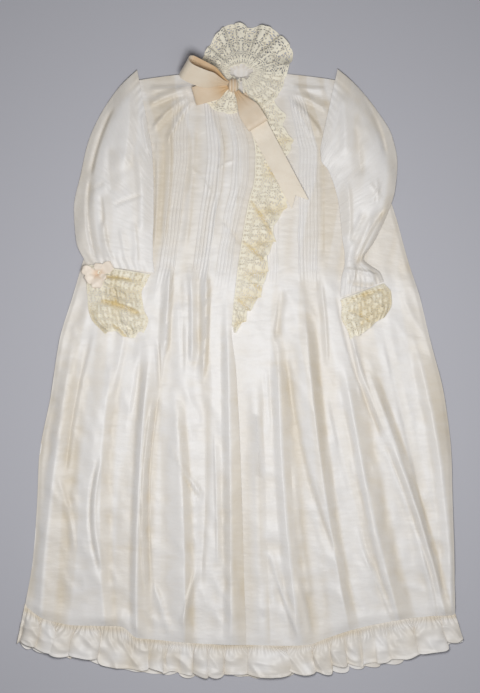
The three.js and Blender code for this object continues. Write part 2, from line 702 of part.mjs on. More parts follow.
// Small rosette of gathered ribbon
function rosette(seat) {
  const angles = steps(ROSETTE.columns).slice(0, -1).map((share) => share * 2 * Math.PI);
  const under = steps(ROSETTE.rows).map((along) => angles.map((angle) => {
    const petal = Math.cos(ROSETTE.petals * angle);
    const radius = lerp(ROSETTE.eye, ROSETTE.radius + ROSETTE.lobe * petal, along);
    const z = seat + SEAM_GAP + ROSETTE.rise * (0.5 + 0.5 * petal) * Math.sin(Math.PI * 0.8 * along);
    return [ROSETTE.x + radius * Math.cos(angle), ROSETTE.y + radius * Math.sin(angle), z];
  }));
  return sheet(under, RIBBON_WALL, true);
}

// Body
addPiece('back', backPanel(), silk);
addPiece('front_right', frontPanel({
  side: 'left',
  columns: tuckColumns(RIGHT_TUCKS, [0]),
  columnX: rightColumnX,
  plainColumns: 9,
  folds: RIGHT_FOLDS,
  liftAt: lapLift,
  foldShareAt: () => 1,
}), silk);
const frontLeft = addPiece('front_left', frontPanel({
  side: 'right',
  columns: tuckColumns(LEFT_TUCKS, [-UNDERLAP, 0, 12, 22]),
  columnX: leftColumnX,
  plainColumns: 11,
  folds: LEFT_FOLDS,
  liftAt: () => 0,
  foldShareAt: besideLap,
}), silk);

// Sleeves and their lace
function sleeve(rows, folds) {
  return flatTube(rows, SLEEVE_COLUMNS, SILK_WALL, sleeveWave(folds));
}

const sleeveRight = addPiece('sleeve_right', sleeve(RIGHT_SLEEVE, RIGHT_SLEEVE_FOLDS), silk);
addPiece('sleeve_left', sleeve(LEFT_SLEEVE, LEFT_SLEEVE_FOLDS), silk);
const cuffRight = addPiece('cuff_lace_right', cuffLace(RIGHT_SLEEVE, RIGHT_CUFF), lace);
addPiece('cuff_lace_left', cuffLace(LEFT_SLEEVE, LEFT_CUFF), lace);

// Hem
addPiece('hem_ruffle_back', hemRuffle(BACK_RUFFLE, 0, 0), silk);
addPiece('hem_ruffle_front', hemRuffle(FRONT_RUFFLE, FRONT_SEAT, BACK_RUFFLE.rise), silk);

// Neck and opening
const band = addPiece('neckband', neckband(), silk);
const collar = addPiece('collar_lace', collarLace(), lace);
const jabot = addPiece('jabot_lace', jabotLace(), lace);

// Bow and rosette
const underBow = [band, collar, jabot, frontLeft];
const tail = addPiece('bow_tail', bowTail(underBow), ribbon);
const knotSeat = highestWithin([band, collar], KNOT.x, KNOT.y, KNOT.halfLength) + SEAM_GAP;
const knotMiddle = knotSeat + KNOT.halfHeight;
addPiece('bow_knot', bowKnot(knotMiddle), ribbon);
for (const loop of BOW_LOOPS) {
  addPiece(loop.name, ribbonLoop(loop, knotMiddle, [...underBow, tail]), ribbon);
}
const wristTop = highestWithin([sleeveRight, cuffRight], ROSETTE.x, ROSETTE.y, ROSETTE.radius + 8);
addPiece('cuff_rosette', rosette(wristTop), rosetteRibbon);

export default gown;
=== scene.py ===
"""Infant's christening gown of ivory silk with lace frills and a ribbon bow, laid flat, face up."""

import math

import bpy
import numpy as np
from bpy.props import FloatProperty, FloatVectorProperty, PointerProperty
from mathutils import Matrix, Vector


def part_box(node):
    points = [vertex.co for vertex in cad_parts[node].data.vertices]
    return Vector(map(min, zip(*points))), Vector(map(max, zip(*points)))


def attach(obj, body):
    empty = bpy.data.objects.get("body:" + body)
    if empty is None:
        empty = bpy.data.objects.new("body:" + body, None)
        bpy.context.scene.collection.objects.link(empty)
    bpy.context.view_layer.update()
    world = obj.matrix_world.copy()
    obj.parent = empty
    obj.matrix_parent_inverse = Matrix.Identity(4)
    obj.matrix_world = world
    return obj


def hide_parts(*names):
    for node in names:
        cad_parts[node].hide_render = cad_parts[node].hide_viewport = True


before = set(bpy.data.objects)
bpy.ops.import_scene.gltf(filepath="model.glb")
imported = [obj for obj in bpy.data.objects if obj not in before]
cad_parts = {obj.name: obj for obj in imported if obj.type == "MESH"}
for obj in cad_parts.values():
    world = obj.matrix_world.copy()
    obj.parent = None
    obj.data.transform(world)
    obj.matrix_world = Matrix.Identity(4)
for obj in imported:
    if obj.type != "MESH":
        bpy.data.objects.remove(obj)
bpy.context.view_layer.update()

bl_info = {
    "name": "Christening gown",
    "version": (1, 0, 0),
    "blender": (4, 5, 0),
    "location": "View3D > Sidebar > Gown",
    "description": "Builds a silk christening gown laid flat, with lace and a ribbon bow",
    "category": "Object",
}

MM = 0.001


def rows(columns, *values):
    """A short table with named columns, a row for each section or fold."""
    return dict(zip(columns.split(), np.array(values, float).T))


# Layers of the laid-out gown, in millimetres above the surface it lies on
SILK_WALL = 1.2
LACE_WALL = 1.0
SEAM_GAP = 0.3
TUCK_ROOM = 1.2
BACK_TOP = SILK_WALL
FRONT_SEAT = BACK_TOP + SEAM_GAP
FRONT_TOP = FRONT_SEAT + SILK_WALL
ON_FRONT = FRONT_TOP + SEAM_GAP
ON_TUCKS = ON_FRONT + TUCK_ROOM
ON_LAP = ON_TUCKS + SILK_WALL + SEAM_GAP

# Sections of the body at its side edges, with the bow of each towards neck or hem
BODY = rows(
    "y left right bow",
    (309, -118, 112, 10),
    (271, -112, 104, 4),
    (231, -106, 98, 0),
    (214, -143, 152, 0),
    (168, -159, 174, 0),
    (99, -181, 194, 0),
    (59, -193, 207, -1),
    (13, -207, 218, -4),
    (-56, -218, 235, -11),
    (-125, -231, 243, -19),
    (-171, -233, 244, -25),
    (-240, -238, 246, -33),
    (-300, -247, 247, -39),
)

# Levels along the gown, and the neck with its band
SHOULDER_Y = 309
YOKE_Y = 271
UNDERARM_Y = 214
HEM_Y = -300
NECK_X, NECK_Y = 1, 318
NECK_HALF_WIDTH, NECK_DEPTH, NECK_BACK_RISE = 20, 13, 11
BAND_HALF_WIDTH, BAND_HALF_DEPTH, BAND_SLANT, BAND_HEIGHT = 17, 10.5, 8, 5

# Edge of the lapping front from the neck to the hem, and the strip of the other front that lies under it
OPENING = rows(
    "y x",
    (300, -5),
    (263, 8),
    (225, 17),
    (197, 16),
    (168, 9),
    (122, 1),
    (78, -5),
    (24, -10),
    (-22, -5),
    (-114, 0),
    (-240, 4),
    (-339, 7),
)
UNDERLAP = 17

# Tucks: the line of the right front's outer ones, their lower and upper ends, pitch, width and columns
TUCK_LINE = rows("y x", (309, 6), (270, 14), (225, 13), (168, 6), (94, -2.8))
RELEASE_Y = 94
TUCK_TOP_Y = 290
TUCK_PITCH = 4
TUCK_HALF_WIDTH = 0.85
TUCK_COLUMN = 0.5

# Width of the left front's bodice, as a share of its width under the arms
LEFT_SPREAD = rows("y spread", (300, 0.78), (231, 1))

# Tuck groups by their distance from the opening edge
RIGHT_TUCKS = rows("start count", (5, 5), (32, 5), (71, 5))
LEFT_TUCKS = rows("start count", (32, 4), (69, 6))

# How far a fold leans to one side, the shares of its length in which it fades, and how round its top is
FOLD_LEAN = 0.35
FOLD_FADE = (0.2, 0.15)
FOLD_ROUND = 0.6

# Soft folds and creases: ends, sideways bend, half width and height; a trough has a negative height
FOLD = "x0 y0 x1 y1 bend width height"
RIGHT_FOLDS = rows(
    FOLD,
    (-60, 296, -92, 268, 0, 8, 2),
    (-62, 300, -97, 290, 0, 7, 2),
    (-80, 262, -89, 120, 3, 6, 2.4),
    (-95, 250, -99, 112, 2, 6, 2.2),
    (-52, 266, -63, 112, 2, 5, 1.8),
    (-22, 262, -33, 112, 2, 5, 1.8),
    (-80, 100, -86, -10, 0, 8, 4),
    (-58, 100, -56, -20, 2, 8, 3),
    (-40, 100, -44, -40, 3, 8, 4),
    (-190, 20, -232, -350, -6, 20, 5),
    (-145, 0, -151, -355, -14, 24, 4),
    (-104, -2, -118, -355, -6, 14, 6),
    (-78, -30, -65, -355, 6, 18, 5),
    (-16, 70, -11, -360, 2, 15, 5),
)
RIGHT_CREASES = rows(
    FOLD,
    (-170, 24, -201, -148, -4, 8, -2.0),
    (-113, 1, -138, -148, 2, 8, -1.8),
    (-94, 10, -91, -45, 0, 4, -1.8),
    (-83, 10, -90, -45, 0, 4, -1.6),
    (-91, -40, -98, -290, -10, 4, -1.6),
    (-97, -42, -106, -290, -10, 6, 1.8),
    (-83, -104, -40, -170, -3, 5, 2.4),
    (-80, -112, -44, -176, -3, 4, -1.5),
    (-40, -50, -46, -280, 3, 9, -2.2),
    (-161, -120, -159, -262, -13, 4, -1.5),
    (-155, -118, -152, -262, -13, 6, 1.8),
    (-69, -17, 0, -15, 1, 3, -0.7),
    (-202, -221, -60, -244, 3, 3, -0.7),
    (-226, -92, -204, -104, 0, 4, 0.9),
    (-212, -140, -190, -236, 5, 6, 1.4),
    (-50, 304, -106, 299, 1, 6, 2.8),
    (-54, 299, -106, 280, -2, 6.5, 3.4),
    (-56, 292, -102, 252, -3, 6, 3.4),
    (-52, 288, -84, 236, -3, 5, 2.8),
    (-27, 206, -6, 217, 1, 3, 1.5),
    (-60, 213, -30, 176, 2, 3, 1.5),
    (-23, 151, 1, 116, 2, 3, -1.6),
    (-5, 259, -5, 151, 2, 4, 1.2),
    (-70, 90, -66, -30, 1, 4, -1.2),
    (-126, 84, -150, -60, 4, 10, 1.6),
    (-30, -90, -26, -250, 1, 5, 1.2),
    (-103, -262, -78, -335, 2, 6, 2.2),
    (-49, -250, -68, -325, -2, 5, 2.0),
)
LEFT_FOLDS = rows(
    FOLD,
    (62, 302, 86, 284, 0, 8, 2),
    (60, 285, 82, 244, 0, 8, 2),
    (21, -20, 31, -360, -4, 9, 4),
    (44, 34, 72, -360, -8, 17, 5),
    (72, 78, 131, -355, -8, 20, 6),
    (118, -4, 192, -350, -6, 15, 6),
    (140, -8, 244, -345, 8, 15, 5),
    (196, 26, 241, -340, 14, 18, 5),
)
LEFT_CREASES = rows(
    FOLD,
    (30, -20, 35, -94, 0, 4, 1.4),
    (49, 74, 40, 10, 0, 6, -1.8),
    (54, 12, 122, -262, -15, 8, -2.2),
    (101, -44, 162, -288, -3, 8, -2.0),
    (58, 303, 100, 299, -1, 6, 2.8),
    (58, 294, 100, 274, 2, 6.5, 3.4),
    (58, 286, 94, 246, 3, 6, 3.0),
    (109, 70, 164, -106, -6, 5, -2.0),
    (116, 70, 171, -106, -6, 5, 1.4),
    (162, -98, 227, -290, 4, 5, -2.0),
    (169, -96, 233, -288, 4, 6, 1.6),
    (164, 23, 219, -216, 0, 7, -1.8),
    (8, -17, 104, -17, 1, 3, -0.7),
    (7, -20, 10, -325, 0, 7, -1.2),
    (95, 232, 95, 100, 0, 4, -0.9),
    (60, -120, 84, -300, -3, 5, 1.2),
    (142, -150, 172, -290, -2, 5, 1.2),
    (34, -232, 70, -330, -3, 5, 2.0),
    (63, -255, 82, -330, 2, 5, 1.8),
    (138, -229, 176, -325, 3, 5, 1.8),
    (207, -232, 226, -315, 2, 5, 1.6),
    (186, -120, 214, -180, 2, 5, 1.2),
    (92, 84, 100, -20, 2, 5, 1.4),
    (124, 40, 138, -60, 3, 6, 1.2),
    (198, -230, 226, -226, 1, 3, -0.6),
)

# Sleeves and cuffs, sections from the armhole to the wrist between the outer and the inner edge
TUBE = "outer_x outer_y inner_x inner_y loft"
RIGHT_SLEEVE = rows(
    TUBE,
    (-118, 321, -101, 231, 1.2),
    (-140, 300, -100, 214, 2),
    (-161, 269, -99, 191, 2.2),
    (-175, 237, -99, 168, 2.2),
    (-183, 202, -99, 148, 2.2),
    (-191, 162, -100, 128, 2.2),
    (-188, 124, -100, 106, 2),
    (-176, 98, -98, 88, 1),
)
LEFT_SLEEVE = rows(
    TUBE,
    (112, 322, 92, 231, 1.2),
    (133, 304, 93, 217, 2),
    (158, 274, 101, 206, 2.2),
    (175, 245, 109, 185, 2.2),
    (181, 214, 113, 168, 2.2),
    (178, 183, 115, 151, 2.2),
    (168, 153, 117, 130, 2),
    (153, 122, 120, 109, 2),
    (142, 104, 120, 98, 1.6),
    (161, 88, 116, 79, 2.4),
    (165, 78, 115, 60, 1),
)
RIGHT_CUFF = rows(
    TUBE,
    (-176, 97, -102, 86, 1),
    (-175, 76, -114, 64, 1.6),
    (-175, 53, -112, 47, 1.6),
    (-170, 33, -107, 33, 1.6),
    (-154, 13, -112, 13, 1.6),
)
LEFT_CUFF = rows(
    TUBE,
    (165, 77, 115, 59, 1),
    (174, 66, 117, 42, 1.6),
    (174, 50, 121, 24, 1.6),
    (166, 33, 126, 8, 1.6),
)
RIGHT_CUFF_CREASES = rows(
    FOLD,
    (-164, 57, -112, 40, 3, 5, -3.4),
    (-162, 64, -112, 48, 3, 6, 2.6),
    (-148, 30, -126, 8, 2, 3.5, -2.4),
    (-140, 34, -116, 18, 2, 5, 2.2),
    (-172, 82, -118, 78, 3, 4, -2.4),
    (-166, 88, -128, 60, -3, 5, 2.4),
    (-150, 76, -142, 52, 2, 3.5, -2.0),
    (-168, 40, -150, 18, -2, 4, 2.0),
)
LEFT_CUFF_CREASES = rows(
    FOLD,
    (120, 54, 168, 70, 2, 4, -1.4),
    (122, 46, 150, 30, 2, 4, -1.3),
    (150, 62, 172, 44, -2, 4, 1.2),
    (128, 24, 160, 48, 2, 5, 1.2),
    (134, 58, 140, 24, 2, 3.5, -1.1),
)
RIGHT_SLEEVE_CREASES = rows(
    FOLD,
    (-144, 282, -172, 196, -4, 6, -2.4),
    (-171, 204, -164, 100, -7, 6, -2.4),
    (-128, 300, -136, 200, 4, 16, 1.8),
    (-150, 236, -147, 176, -2, 10, -1.2),
    (-148, 164, -110, 178, 1, 3, -0.9),
    (-172, 182, -154, 191, 0, 2.5, -0.9),
    (-160, 178, -157, 140, 1, 4, -1.2),
    (-120, 240, -112, 130, 3, 12, 1.4),
    (-156, 150, -146, 100, -3, 6, 1.6),
    (-138, 140, -132, 98, 1, 5, 0.7),
    (-122, 150, -118, 98, 1, 5, 0.7),
    (-112, 272, -104, 224, -2, 5, 1.2),
)
LEFT_SLEEVE_CREASES = rows(
    FOLD,
    (138, 300, 168, 220, 5, 5, -1.6),
    (116, 296, 120, 220, 2, 14, 1.6),
    (131, 262, 139, 196, 1, 9, -1.1),
    (147, 191, 163, 172, 0, 2.5, 0.9),
    (162, 190, 152, 170, 0, 2.5, 0.9),
    (156, 196, 158, 168, 0, 2.5, 0.8),
    (169, 166, 131, 92, -5, 8, -3.4),
    (143, 160, 126, 122, 0, 9, -1.5),
    (122, 196, 125, 128, 2, 7, 0.9),
    (152, 150, 133, 104, 0, 5, 1.1),
    (118, 92, 160, 84, 2, 4, 1.8),
    (120, 78, 158, 72, -2, 4, -1.6),
    (132, 98, 128, 72, 1, 4, 1.6),
    (146, 92, 152, 76, 1, 4, 1.4),
)

# Room between a flattened tube's walls, and the distances beside the body over which it eases down
TUBE_EDGE = 0.6
SIDE_EASE = (8, 28)

# Lace frill round the neck: reach and wave by angle, counted from the wearer's left
COLLAR = rows(
    "angle reach wave",
    (-84, 44, 1.2),
    (-50, 50, 1.5),
    (0, 54, 2),
    (28, 65, 4),
    (62, 61, 6),
    (78, 53, 5),
    (92, 58, 6),
    (145, 47, 4),
    (180, 48, 2),
    (230, 52, 1.5),
    (264, 46, 1.2),
)
COLLAR_WAVES = 13
COLLAR_EXTENT = (266, 40)

# Lace jabot along the opening edge: reach of the free edge, and its drop towards the hem
JABOT = rows(
    "y reach drop rise",
    (288, 44, 0, 0.1),
    (277, 46, 0, 0.2),
    (262, 46, 2, 1.4),
    (247, 46, 2, 2.0),
    (224, 43, 2, 2.6),
    (197, 40, 3, 2.6),
    (168, 46, 2, 2.6),
    (145, 40, 0, 4.0),
    (99, 37, 1, 5.5),
    (78, 35, 3, 5.5),
    (61, 27, 5, 5.0),
    (44, 18, 6, 4.0),
    (27, 4, 8, 2.6),
)
JABOT_FOLDS = rows(
    FOLD,
    (10, 174, 38, 128, 2, 4, -2.4),
    (17, 178, 45, 134, 2, 6, 2.2),
    (0, 126, 29, 100, 2, 4, -2.2),
    (6, 132, 36, 108, 2, 5, 1.8),
    (2, 96, 28, 66, -2, 4, -2.2),
    (-4, 104, 20, 74, -2, 5, 2.0),
    (-6, 62, 14, 40, 1, 3.5, -2.0),
    (-8, 52, 2, 28, 1, 3, 1.6),
    (26, 216, 48, 190, 1, 4, -1.6),
)
JABOT_WAVES = 8
JABOT_EXTENT = (264, 42)
CUFF_WAVES = 6
RIGHT_CUFF_EXTENT = (140, 84)
LEFT_CUFF_EXTENT = (112, 54)

# Width of one repeat of the lace's motifs
COLLAR_REPEAT = 14
FRILL_REPEAT = 13

# Gathered ruffles along the hem: the seam's shift from its even curve, and the puff of the skirt over it
HEM_SEAM = rows(
    "x shift puff",
    (-248, 6, 0.4),
    (-223, -3, 0.6),
    (-199, -2, 1.2),
    (-167, 4, 2.6),
    (-136, 9, 3.2),
    (-118, -1, 1.0),
    (-86, 0, 0.6),
    (0, 0, 0.8),
    (79, -4, 0.6),
    (99, 1, 1.0),
    (126, 6, 1.8),
    (152, 8, 1.4),
    (185, 7, 1.0),
    (220, 2, 0.8),
    (246, -5, 0.4),
)
RUFFLE_DEPTH = 37
RUFFLE_SPREAD = 9
RUFFLE_TURN_IN = 2.5
RUFFLE_LENGTH = 620
RUFFLE_SWAY = (3, 17)

# Ruffles by their folds, the strip's depth, its seat, how far its free edge is raised, and the grid's points
RUFFLES = {
    "hem_ruffle_back": {
        "waves": 20,
        "rise": 1.6,
        "depth": RUFFLE_DEPTH,
        "seat": 0,
        "raised": 0,
        "grid": (300, 14),
    },
    "hem_ruffle_front": {
        "waves": 22,
        "rise": 4,
        "depth": RUFFLE_DEPTH - 2,
        "seat": FRONT_SEAT,
        "raised": 1.6,
        "grid": (640, 30),
    },
}

# Ribbon bow: loops by their turn round the knot, its long tail, and the loops of the rosette
RIBBON_WIDTH = 25
KNOT = {"x": -8, "y": 302, "half": (5.5, 8)}
BOW_LOOPS = rows(
    "turn length opening width gather tilt pitch tone",
    (154, 58, 18, 25, 0.42, -42, 11, 0.1),
    (196, 43, 6, 21, 0.34, 0, 0, 0.45),
    (-58, 50, 7, 25, 0.6, 0, 0, 0.3),
)
LOOP_ROOT = 2.2
BOW_LOOP_NAMES = ("bow_loop_standing", "bow_loop_flat", "bow_loop_front")
TAIL = {"start": (2, 292), "end": (69, 166), "notch": 12, "spread": 0.88}
ROSETTE = {"x": -163, "y": 87, "root": 1.6}
ROSETTE_LOOPS = rows(
    "turn length width height",
    (32, 21, 13, 5.0),
    (84, 13, 10, 4.0),
    (164, 20, 11, 4.2),
    (212, 17, 12, 4.6),
    (268, 18, 13, 5.0),
    (322, 12, 9, 3.6),
)

# Cut of each piece before it was sewn: width and length in metres, and its area where it isn't a rectangle
CUTS = {
    "back": (0.50, 0.70, 0.256),
    "front_right": (0.31, 0.67, 0.137),
    "front_left": (0.31, 0.67, 0.152),
    "sleeve_right": (0.20, 0.27, 0.035),
    "sleeve_left": (0.17, 0.29, 0.031),
    "hem_ruffle_back": (0.62, 0.037, None),
    "hem_ruffle_front": (0.62, 0.037, None),
    "neckband": (0.09, 0.01, 0.00055),
    "bow_knot": (0.025, 0.045, 0.0005),
    "bow_tail": (0.025, 0.145, None),
    "cuff_rosette": (0.013, 0.22, 0.0018),
}

# First seed of the unevenness of each piece
SEEDS = {
    "back": 11,
    "front_right": 21,
    "front_left": 31,
    "sleeve_right": 41,
    "sleeve_left": 51,
    "hem_ruffle_back": 61,
    "hem_ruffle_front": 71,
    "jabot_lace": 81,
    "cuff_lace_right": 91,
    "cuff_lace_left": 92,
    "bow_loops": 101,
    "bow_tail": 111,
    "collar_lace": 121,
    "cuff_rosette": 131,
    "cuff_edges": 141,
}

# Cells of the table of random values behind each unevenness, along and across
NOISE_CELLS = 64

# Points of the grids, across or round a piece and down it
BODICE_ROWS, SKIRT_ROWS = 108, 100
EDGE_ROWS = 240
BACK_COLUMNS, BACK_ROWS = 161, 90
SLEEVE_COLUMNS, SLEEVE_ROWS = 84, 96
BAND_COLUMNS, BAND_ROWS = 97, 9
LOOP_COLUMNS, LOOP_ROWS = 15, 30
TAIL_COLUMNS, TAIL_ROWS, TAIL_STATIONS = 17, 70, 11
KNOT_COLUMNS, KNOT_ROWS = 49, 25
PETAL_COLUMNS, PETAL_ROWS = 9, 10

# Angle up to which a surface is shaded smooth, and the distance at which a tube's two edges are one
SMOOTH_ANGLE = math.radians(50)
SAME_POINT = 1e-6

# Stage, in metres: the camera's place above the gown, and each light's place, size and power in watts
FLOOR_SIZE = 60
CAMERA_HEIGHT = 2.0
CAMERA_SHIFT = 0.0035
CAMERA_SENSOR = 36
SHOWN_LENGTH = 0.797
LIGHTS = (
    ("key", (0.0, -0.03, 0.95), 0.35, 6.8),
    ("fill", (0.5, -0.5, 1.6), 1.4, 2.5),
)
ROOM_COLOUR, ROOM_LIGHT = "#EDEEF2", 0.12


def linear(code):
    """Linear colour of an sRGB hex value."""
    channels = [int(code[k : k + 2], 16) / 255 for k in (1, 3, 5)]
    return [c / 12.92 if c <= 0.04045 else ((c + 0.055) / 1.055) ** 2.4 for c in channels]


def colour(name, description, code):
    """Colour property with an sRGB hex default."""
    return FloatVectorProperty(
        name=name, description=description, subtype="COLOR", min=0, max=1, default=linear(code)
    )


def length(name, description, millimetres):
    """Length property with a default in millimetres."""
    return FloatProperty(
        name=name, description=description, unit="LENGTH", subtype="DISTANCE", min=0, default=millimetres * MM
    )


class GownSizes(bpy.types.PropertyGroup):
    """Sizes of the cloth and of its finer forms"""

    silk: length("Silk", "Thickness of the silk", 0.4)
    ribbon: length("Ribbon", "Thickness of the ribbon", 0.5)
    tuck_rise: length("Tucks", "Height of a pintuck", 0.75)
    crumple: length("Crumple", "Height of the silk's small unevenness", 0.7)
    pucker: length("Puckers", "Height of the puckers at a gathered seam", 0.7)
    lace_thread: length("Lace thread", "Width of a thread of the lace net", 0.58)
    rolled_hem: length("Rolled hem", "Height of the rolled edge of the ruffle", 0.7)


class GownColours(bpy.types.PropertyGroup):
    """Colours of the cloths, of the shade painted into their folds, and of the floor"""

    silk: colour("Silk", "Ivory silk", "#E9E6E3")
    # Painted shade for the silk's hollows and beside its folds, also used for its random beige mottle
    silk_shade_and_mottle: colour("Silk in folds", "Ivory silk toned by age in its folds", "#D6CAB6")
    lace: colour("Lace", "Cream lace", "#F8F2E0")
    # Painted shade for the lace's waves, creases and net, also used for its random mottle
    lace_shade_and_mottle: colour("Lace in folds", "Cream lace toned in its folds", "#DAC38C")
    ribbon: colour("Ribbon", "Tan silk ribbon", "#EADFCD")
    # Painted shade for the ribbon's gathers, the knot's folds and the inside of the standing loop, also used
    # for its random mottle
    ribbon_shade_and_mottle: colour("Ribbon in folds", "Tan silk ribbon in its folds", "#D2AE80")
    rosette: colour("Rosette", "Pale pink silk ribbon", "#F1E4D4")
    # Painted shade for the rosette's loops towards their roots, also used for its random mottle
    rosette_shade_and_mottle: colour("Rosette in folds", "Pale pink silk ribbon in its folds", "#DDB792")
    floor: colour("Floor", "Plain pale grey floor", "#BBBBC2")


def ease(value, low, high):
    """Smooth step from 0 at low to 1 at high."""
    share = np.clip((value - low) / (high - low), 0, 1)
    return share * share * (3 - 2 * share)


def mix(first, last, share):
    """Value at a share of the way from first to last."""
    return first + (last - first) * share


def at(table, key, name, place):
    """A column of a table at a place along another: a smooth curve through its rows that never overshoots."""
    order = np.argsort(table[key])
    x, y = table[key][order], table[name][order]
    slope = np.diff(y) / np.diff(x)
    tangent = np.concatenate([slope[:1], np.zeros(len(x) - 2), slope[-1:]])
    same = slope[:-1] * slope[1:] > 0
    product, total = slope[:-1] * slope[1:], slope[:-1] + slope[1:]
    tangent[1:-1][same] = 2 * product[same] / total[same]
    place = np.clip(place, x[0], x[-1])
    i = np.clip(np.searchsorted(x, place) - 1, 0, len(x) - 2)
    step = x[i + 1] - x[i]
    t = (place - x[i]) / step
    start = (1 + 2 * t) * (1 - t) ** 2 * y[i] + t * (1 - t) ** 2 * step * tangent[i]
    return start + t * t * (3 - 2 * t) * y[i + 1] + t * t * (t - 1) * step * tangent[i + 1]


def along_rows(table, name, share):
    """One column of a table at a share of the way through its rows."""
    count = len(table[name])
    return at({**table, "row": np.arange(count, dtype=float)}, "row", name, share * (count - 1))


def noise(x, y, size, seed):
    """Smooth seeded unevenness from -1 to 1, with forms of about the given size."""
    lattice = np.random.default_rng(seed).uniform(-1, 1, (NOISE_CELLS, NOISE_CELLS))
    u, v = x / size + NOISE_CELLS // 4, y / size + NOISE_CELLS // 4
    i, j = np.floor(u).astype(int), np.floor(v).astype(int)
    s, t = ease(u - i, 0, 1), ease(v - j, 0, 1)

    def corner(a, b):
        return lattice[(i + a) % NOISE_CELLS, (j + b) % NOISE_CELLS]

    return mix(mix(corner(0, 0), corner(1, 0), s), mix(corner(0, 1), corner(1, 1), s), t)


def fold_lines(folds, x, y):
    """For each fold: its height, its fade towards its ends, and how far across it each point lies."""
    for k, (x0, y0, x1, y1, bend, width, height) in enumerate(zip(*folds.values())):
        reach = math.hypot(x1 - x0, y1 - y0)
        way_x, way_y = (x1 - x0) / reach, (y1 - y0) / reach
        along = ((x - x0) * way_x + (y - y0) * way_y) / reach
        across = (y - y0) * way_x - (x - x0) * way_y - bend * 4 * along * (1 - along)
        lean = FOLD_LEAN if k % 2 else -FOLD_LEAN
        fade = ease(along, 0, FOLD_FADE[0]) * ease(1 - along, 0, FOLD_FADE[1])
        yield height, fade, across / (width * (1 + lean * np.sign(across)))


def fold_rise(folds, x, y):
    """Height of soft folds and creases at each point; each leans to one side and fades at its ends."""
    rise = np.zeros_like(x)
    for height, fade, across in fold_lines(folds, x, y):
        share = np.clip(np.abs(across), 0, 1)
        rounded, pinched = np.cos(share * np.pi / 2) ** 2, (1 - share) ** 2
        rise += height * fade * mix(pinched, rounded, FOLD_ROUND)
    return rise


def fold_shade_bands(folds, x, y):
    """Share of painted shade in a band beside each fold, with a clear edge along its crest."""
    tone = np.zeros_like(x)
    for height, fade, across in fold_lines(folds, x, y):
        band = ease(across, 0, 0.2) * ease(1.2 - across, 0, 0.4)
        tone = np.maximum(tone, np.clip(np.abs(height) / 4, 0.35, 1) * fade * band)
    return tone


def gather_wave(share, waves, by, often):
    """Phase of uneven gathers at a share of a frill's length."""
    return 2 * np.pi * waves * share + by * np.sin(often * share)


def troughs(height, reach, depth):
    """How deep each point of a grid lies below its surroundings, from 0 to 1."""
    level = height
    for _ in range(reach):
        for axis in (0, 1):
            level = (np.roll(level, 1, axis) + level + np.roll(level, -1, axis)) / 3
    return np.clip((level - height) / depth, 0, 1)


def select_only(piece):
    """Leaves one piece selected and active."""
    bpy.ops.object.select_all(action="DESELECT")
    piece.select_set(True)
    bpy.context.view_layer.objects.active = piece


def dress(mesh, layer, uv, tone):
    """Gives each point of a mesh its place on the flat cloth, in a UV layer in metres, and its tone."""
    corners = np.zeros(len(mesh.loops), int)
    mesh.loops.foreach_get("vertex_index", corners)
    layer.data.foreach_set("uv", (uv * MM)[corners].ravel())
    mesh.attributes.new("tone", "FLOAT", "POINT").data.foreach_set("value", np.clip(tone, 0, 1))


def cloth(name, points, thickness, material, uv, tone, tube=False):
    """Sheet of cloth: a plane grid whose points are moved to their places, then given its thickness."""
    x, y, z = points
    down, across = x.shape
    bpy.ops.object.select_all(action="DESELECT")
    bpy.ops.mesh.primitive_grid_add(x_subdivisions=across - 1, y_subdivisions=down - 1, size=1)
    piece = bpy.context.object
    piece.name = f"gown_{name}"
    mesh = piece.data
    if len(mesh.vertices) != down * across:
        raise RuntimeError(f"{name}: the grid has {len(mesh.vertices)} points, not {down * across}")
    flat = np.zeros(len(mesh.vertices) * 3)
    mesh.vertices.foreach_get("co", flat)
    flat = flat.reshape(-1, 3)
    column = np.rint((flat[:, 0] + 0.5) * (across - 1)).astype(int)
    row = np.rint((flat[:, 1] + 0.5) * (down - 1)).astype(int)
    place = np.stack([x, y, z], -1)[row, column] * MM
    mesh.vertices.foreach_set("co", place.ravel())
    across_uv, down_uv, toned = (np.broadcast_to(c, x.shape)[row, column] for c in (*uv, tone))
    dress(mesh, mesh.uv_layers.active, np.stack([across_uv, down_uv], -1), toned)
    mesh.update()
    select_only(piece)
    bpy.ops.object.mode_set(mode="EDIT")
    bpy.ops.mesh.select_all(action="SELECT")
    if tube:
        bpy.ops.mesh.remove_doubles(threshold=SAME_POINT)
    if facing(x, y, z, tube) < 0:
        bpy.ops.mesh.flip_normals()
    bpy.ops.object.mode_set(mode="OBJECT")
    if thickness:
        wall = piece.modifiers.new("Thickness", "SOLIDIFY")
        wall.thickness = thickness
        wall.offset = -1
        bpy.ops.object.modifier_apply(modifier=wall.name)
    bpy.ops.object.shade_smooth_by_angle(angle=SMOOTH_ANGLE)
    mesh.materials.append(material)
    return piece


def facing(x, y, z, tube):
    """Positive if a grid's faces point up, or out of its tube."""
    p = np.stack([x, y, z], -1)
    normal = np.cross(p[:-1, 1:] - p[:-1, :-1], p[1:, :-1] - p[:-1, :-1])
    if not tube:
        return normal[..., 2].sum()
    middle = p[:-1, :-1] - p[:-1, :-1].mean(axis=1, keepdims=True)
    return (normal * middle).sum()


def finish_piece(piece, name):
    """Ties a piece of cloth to the frame in place of its CAD node."""
    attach(piece, "root")
    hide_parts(name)


def node(tree, kind, inputs=None, **settings):
    """Adds a shader node with its settings; each input is a socket to link or a value."""
    made = tree.nodes.new(kind)
    for name, value in settings.items():
        setattr(made, name, value)
    for name, value in (inputs or {}).items():
        if isinstance(value, bpy.types.NodeSocket):
            tree.links.new(value, made.inputs[name])
        else:
            made.inputs[name].default_value = value
    return made


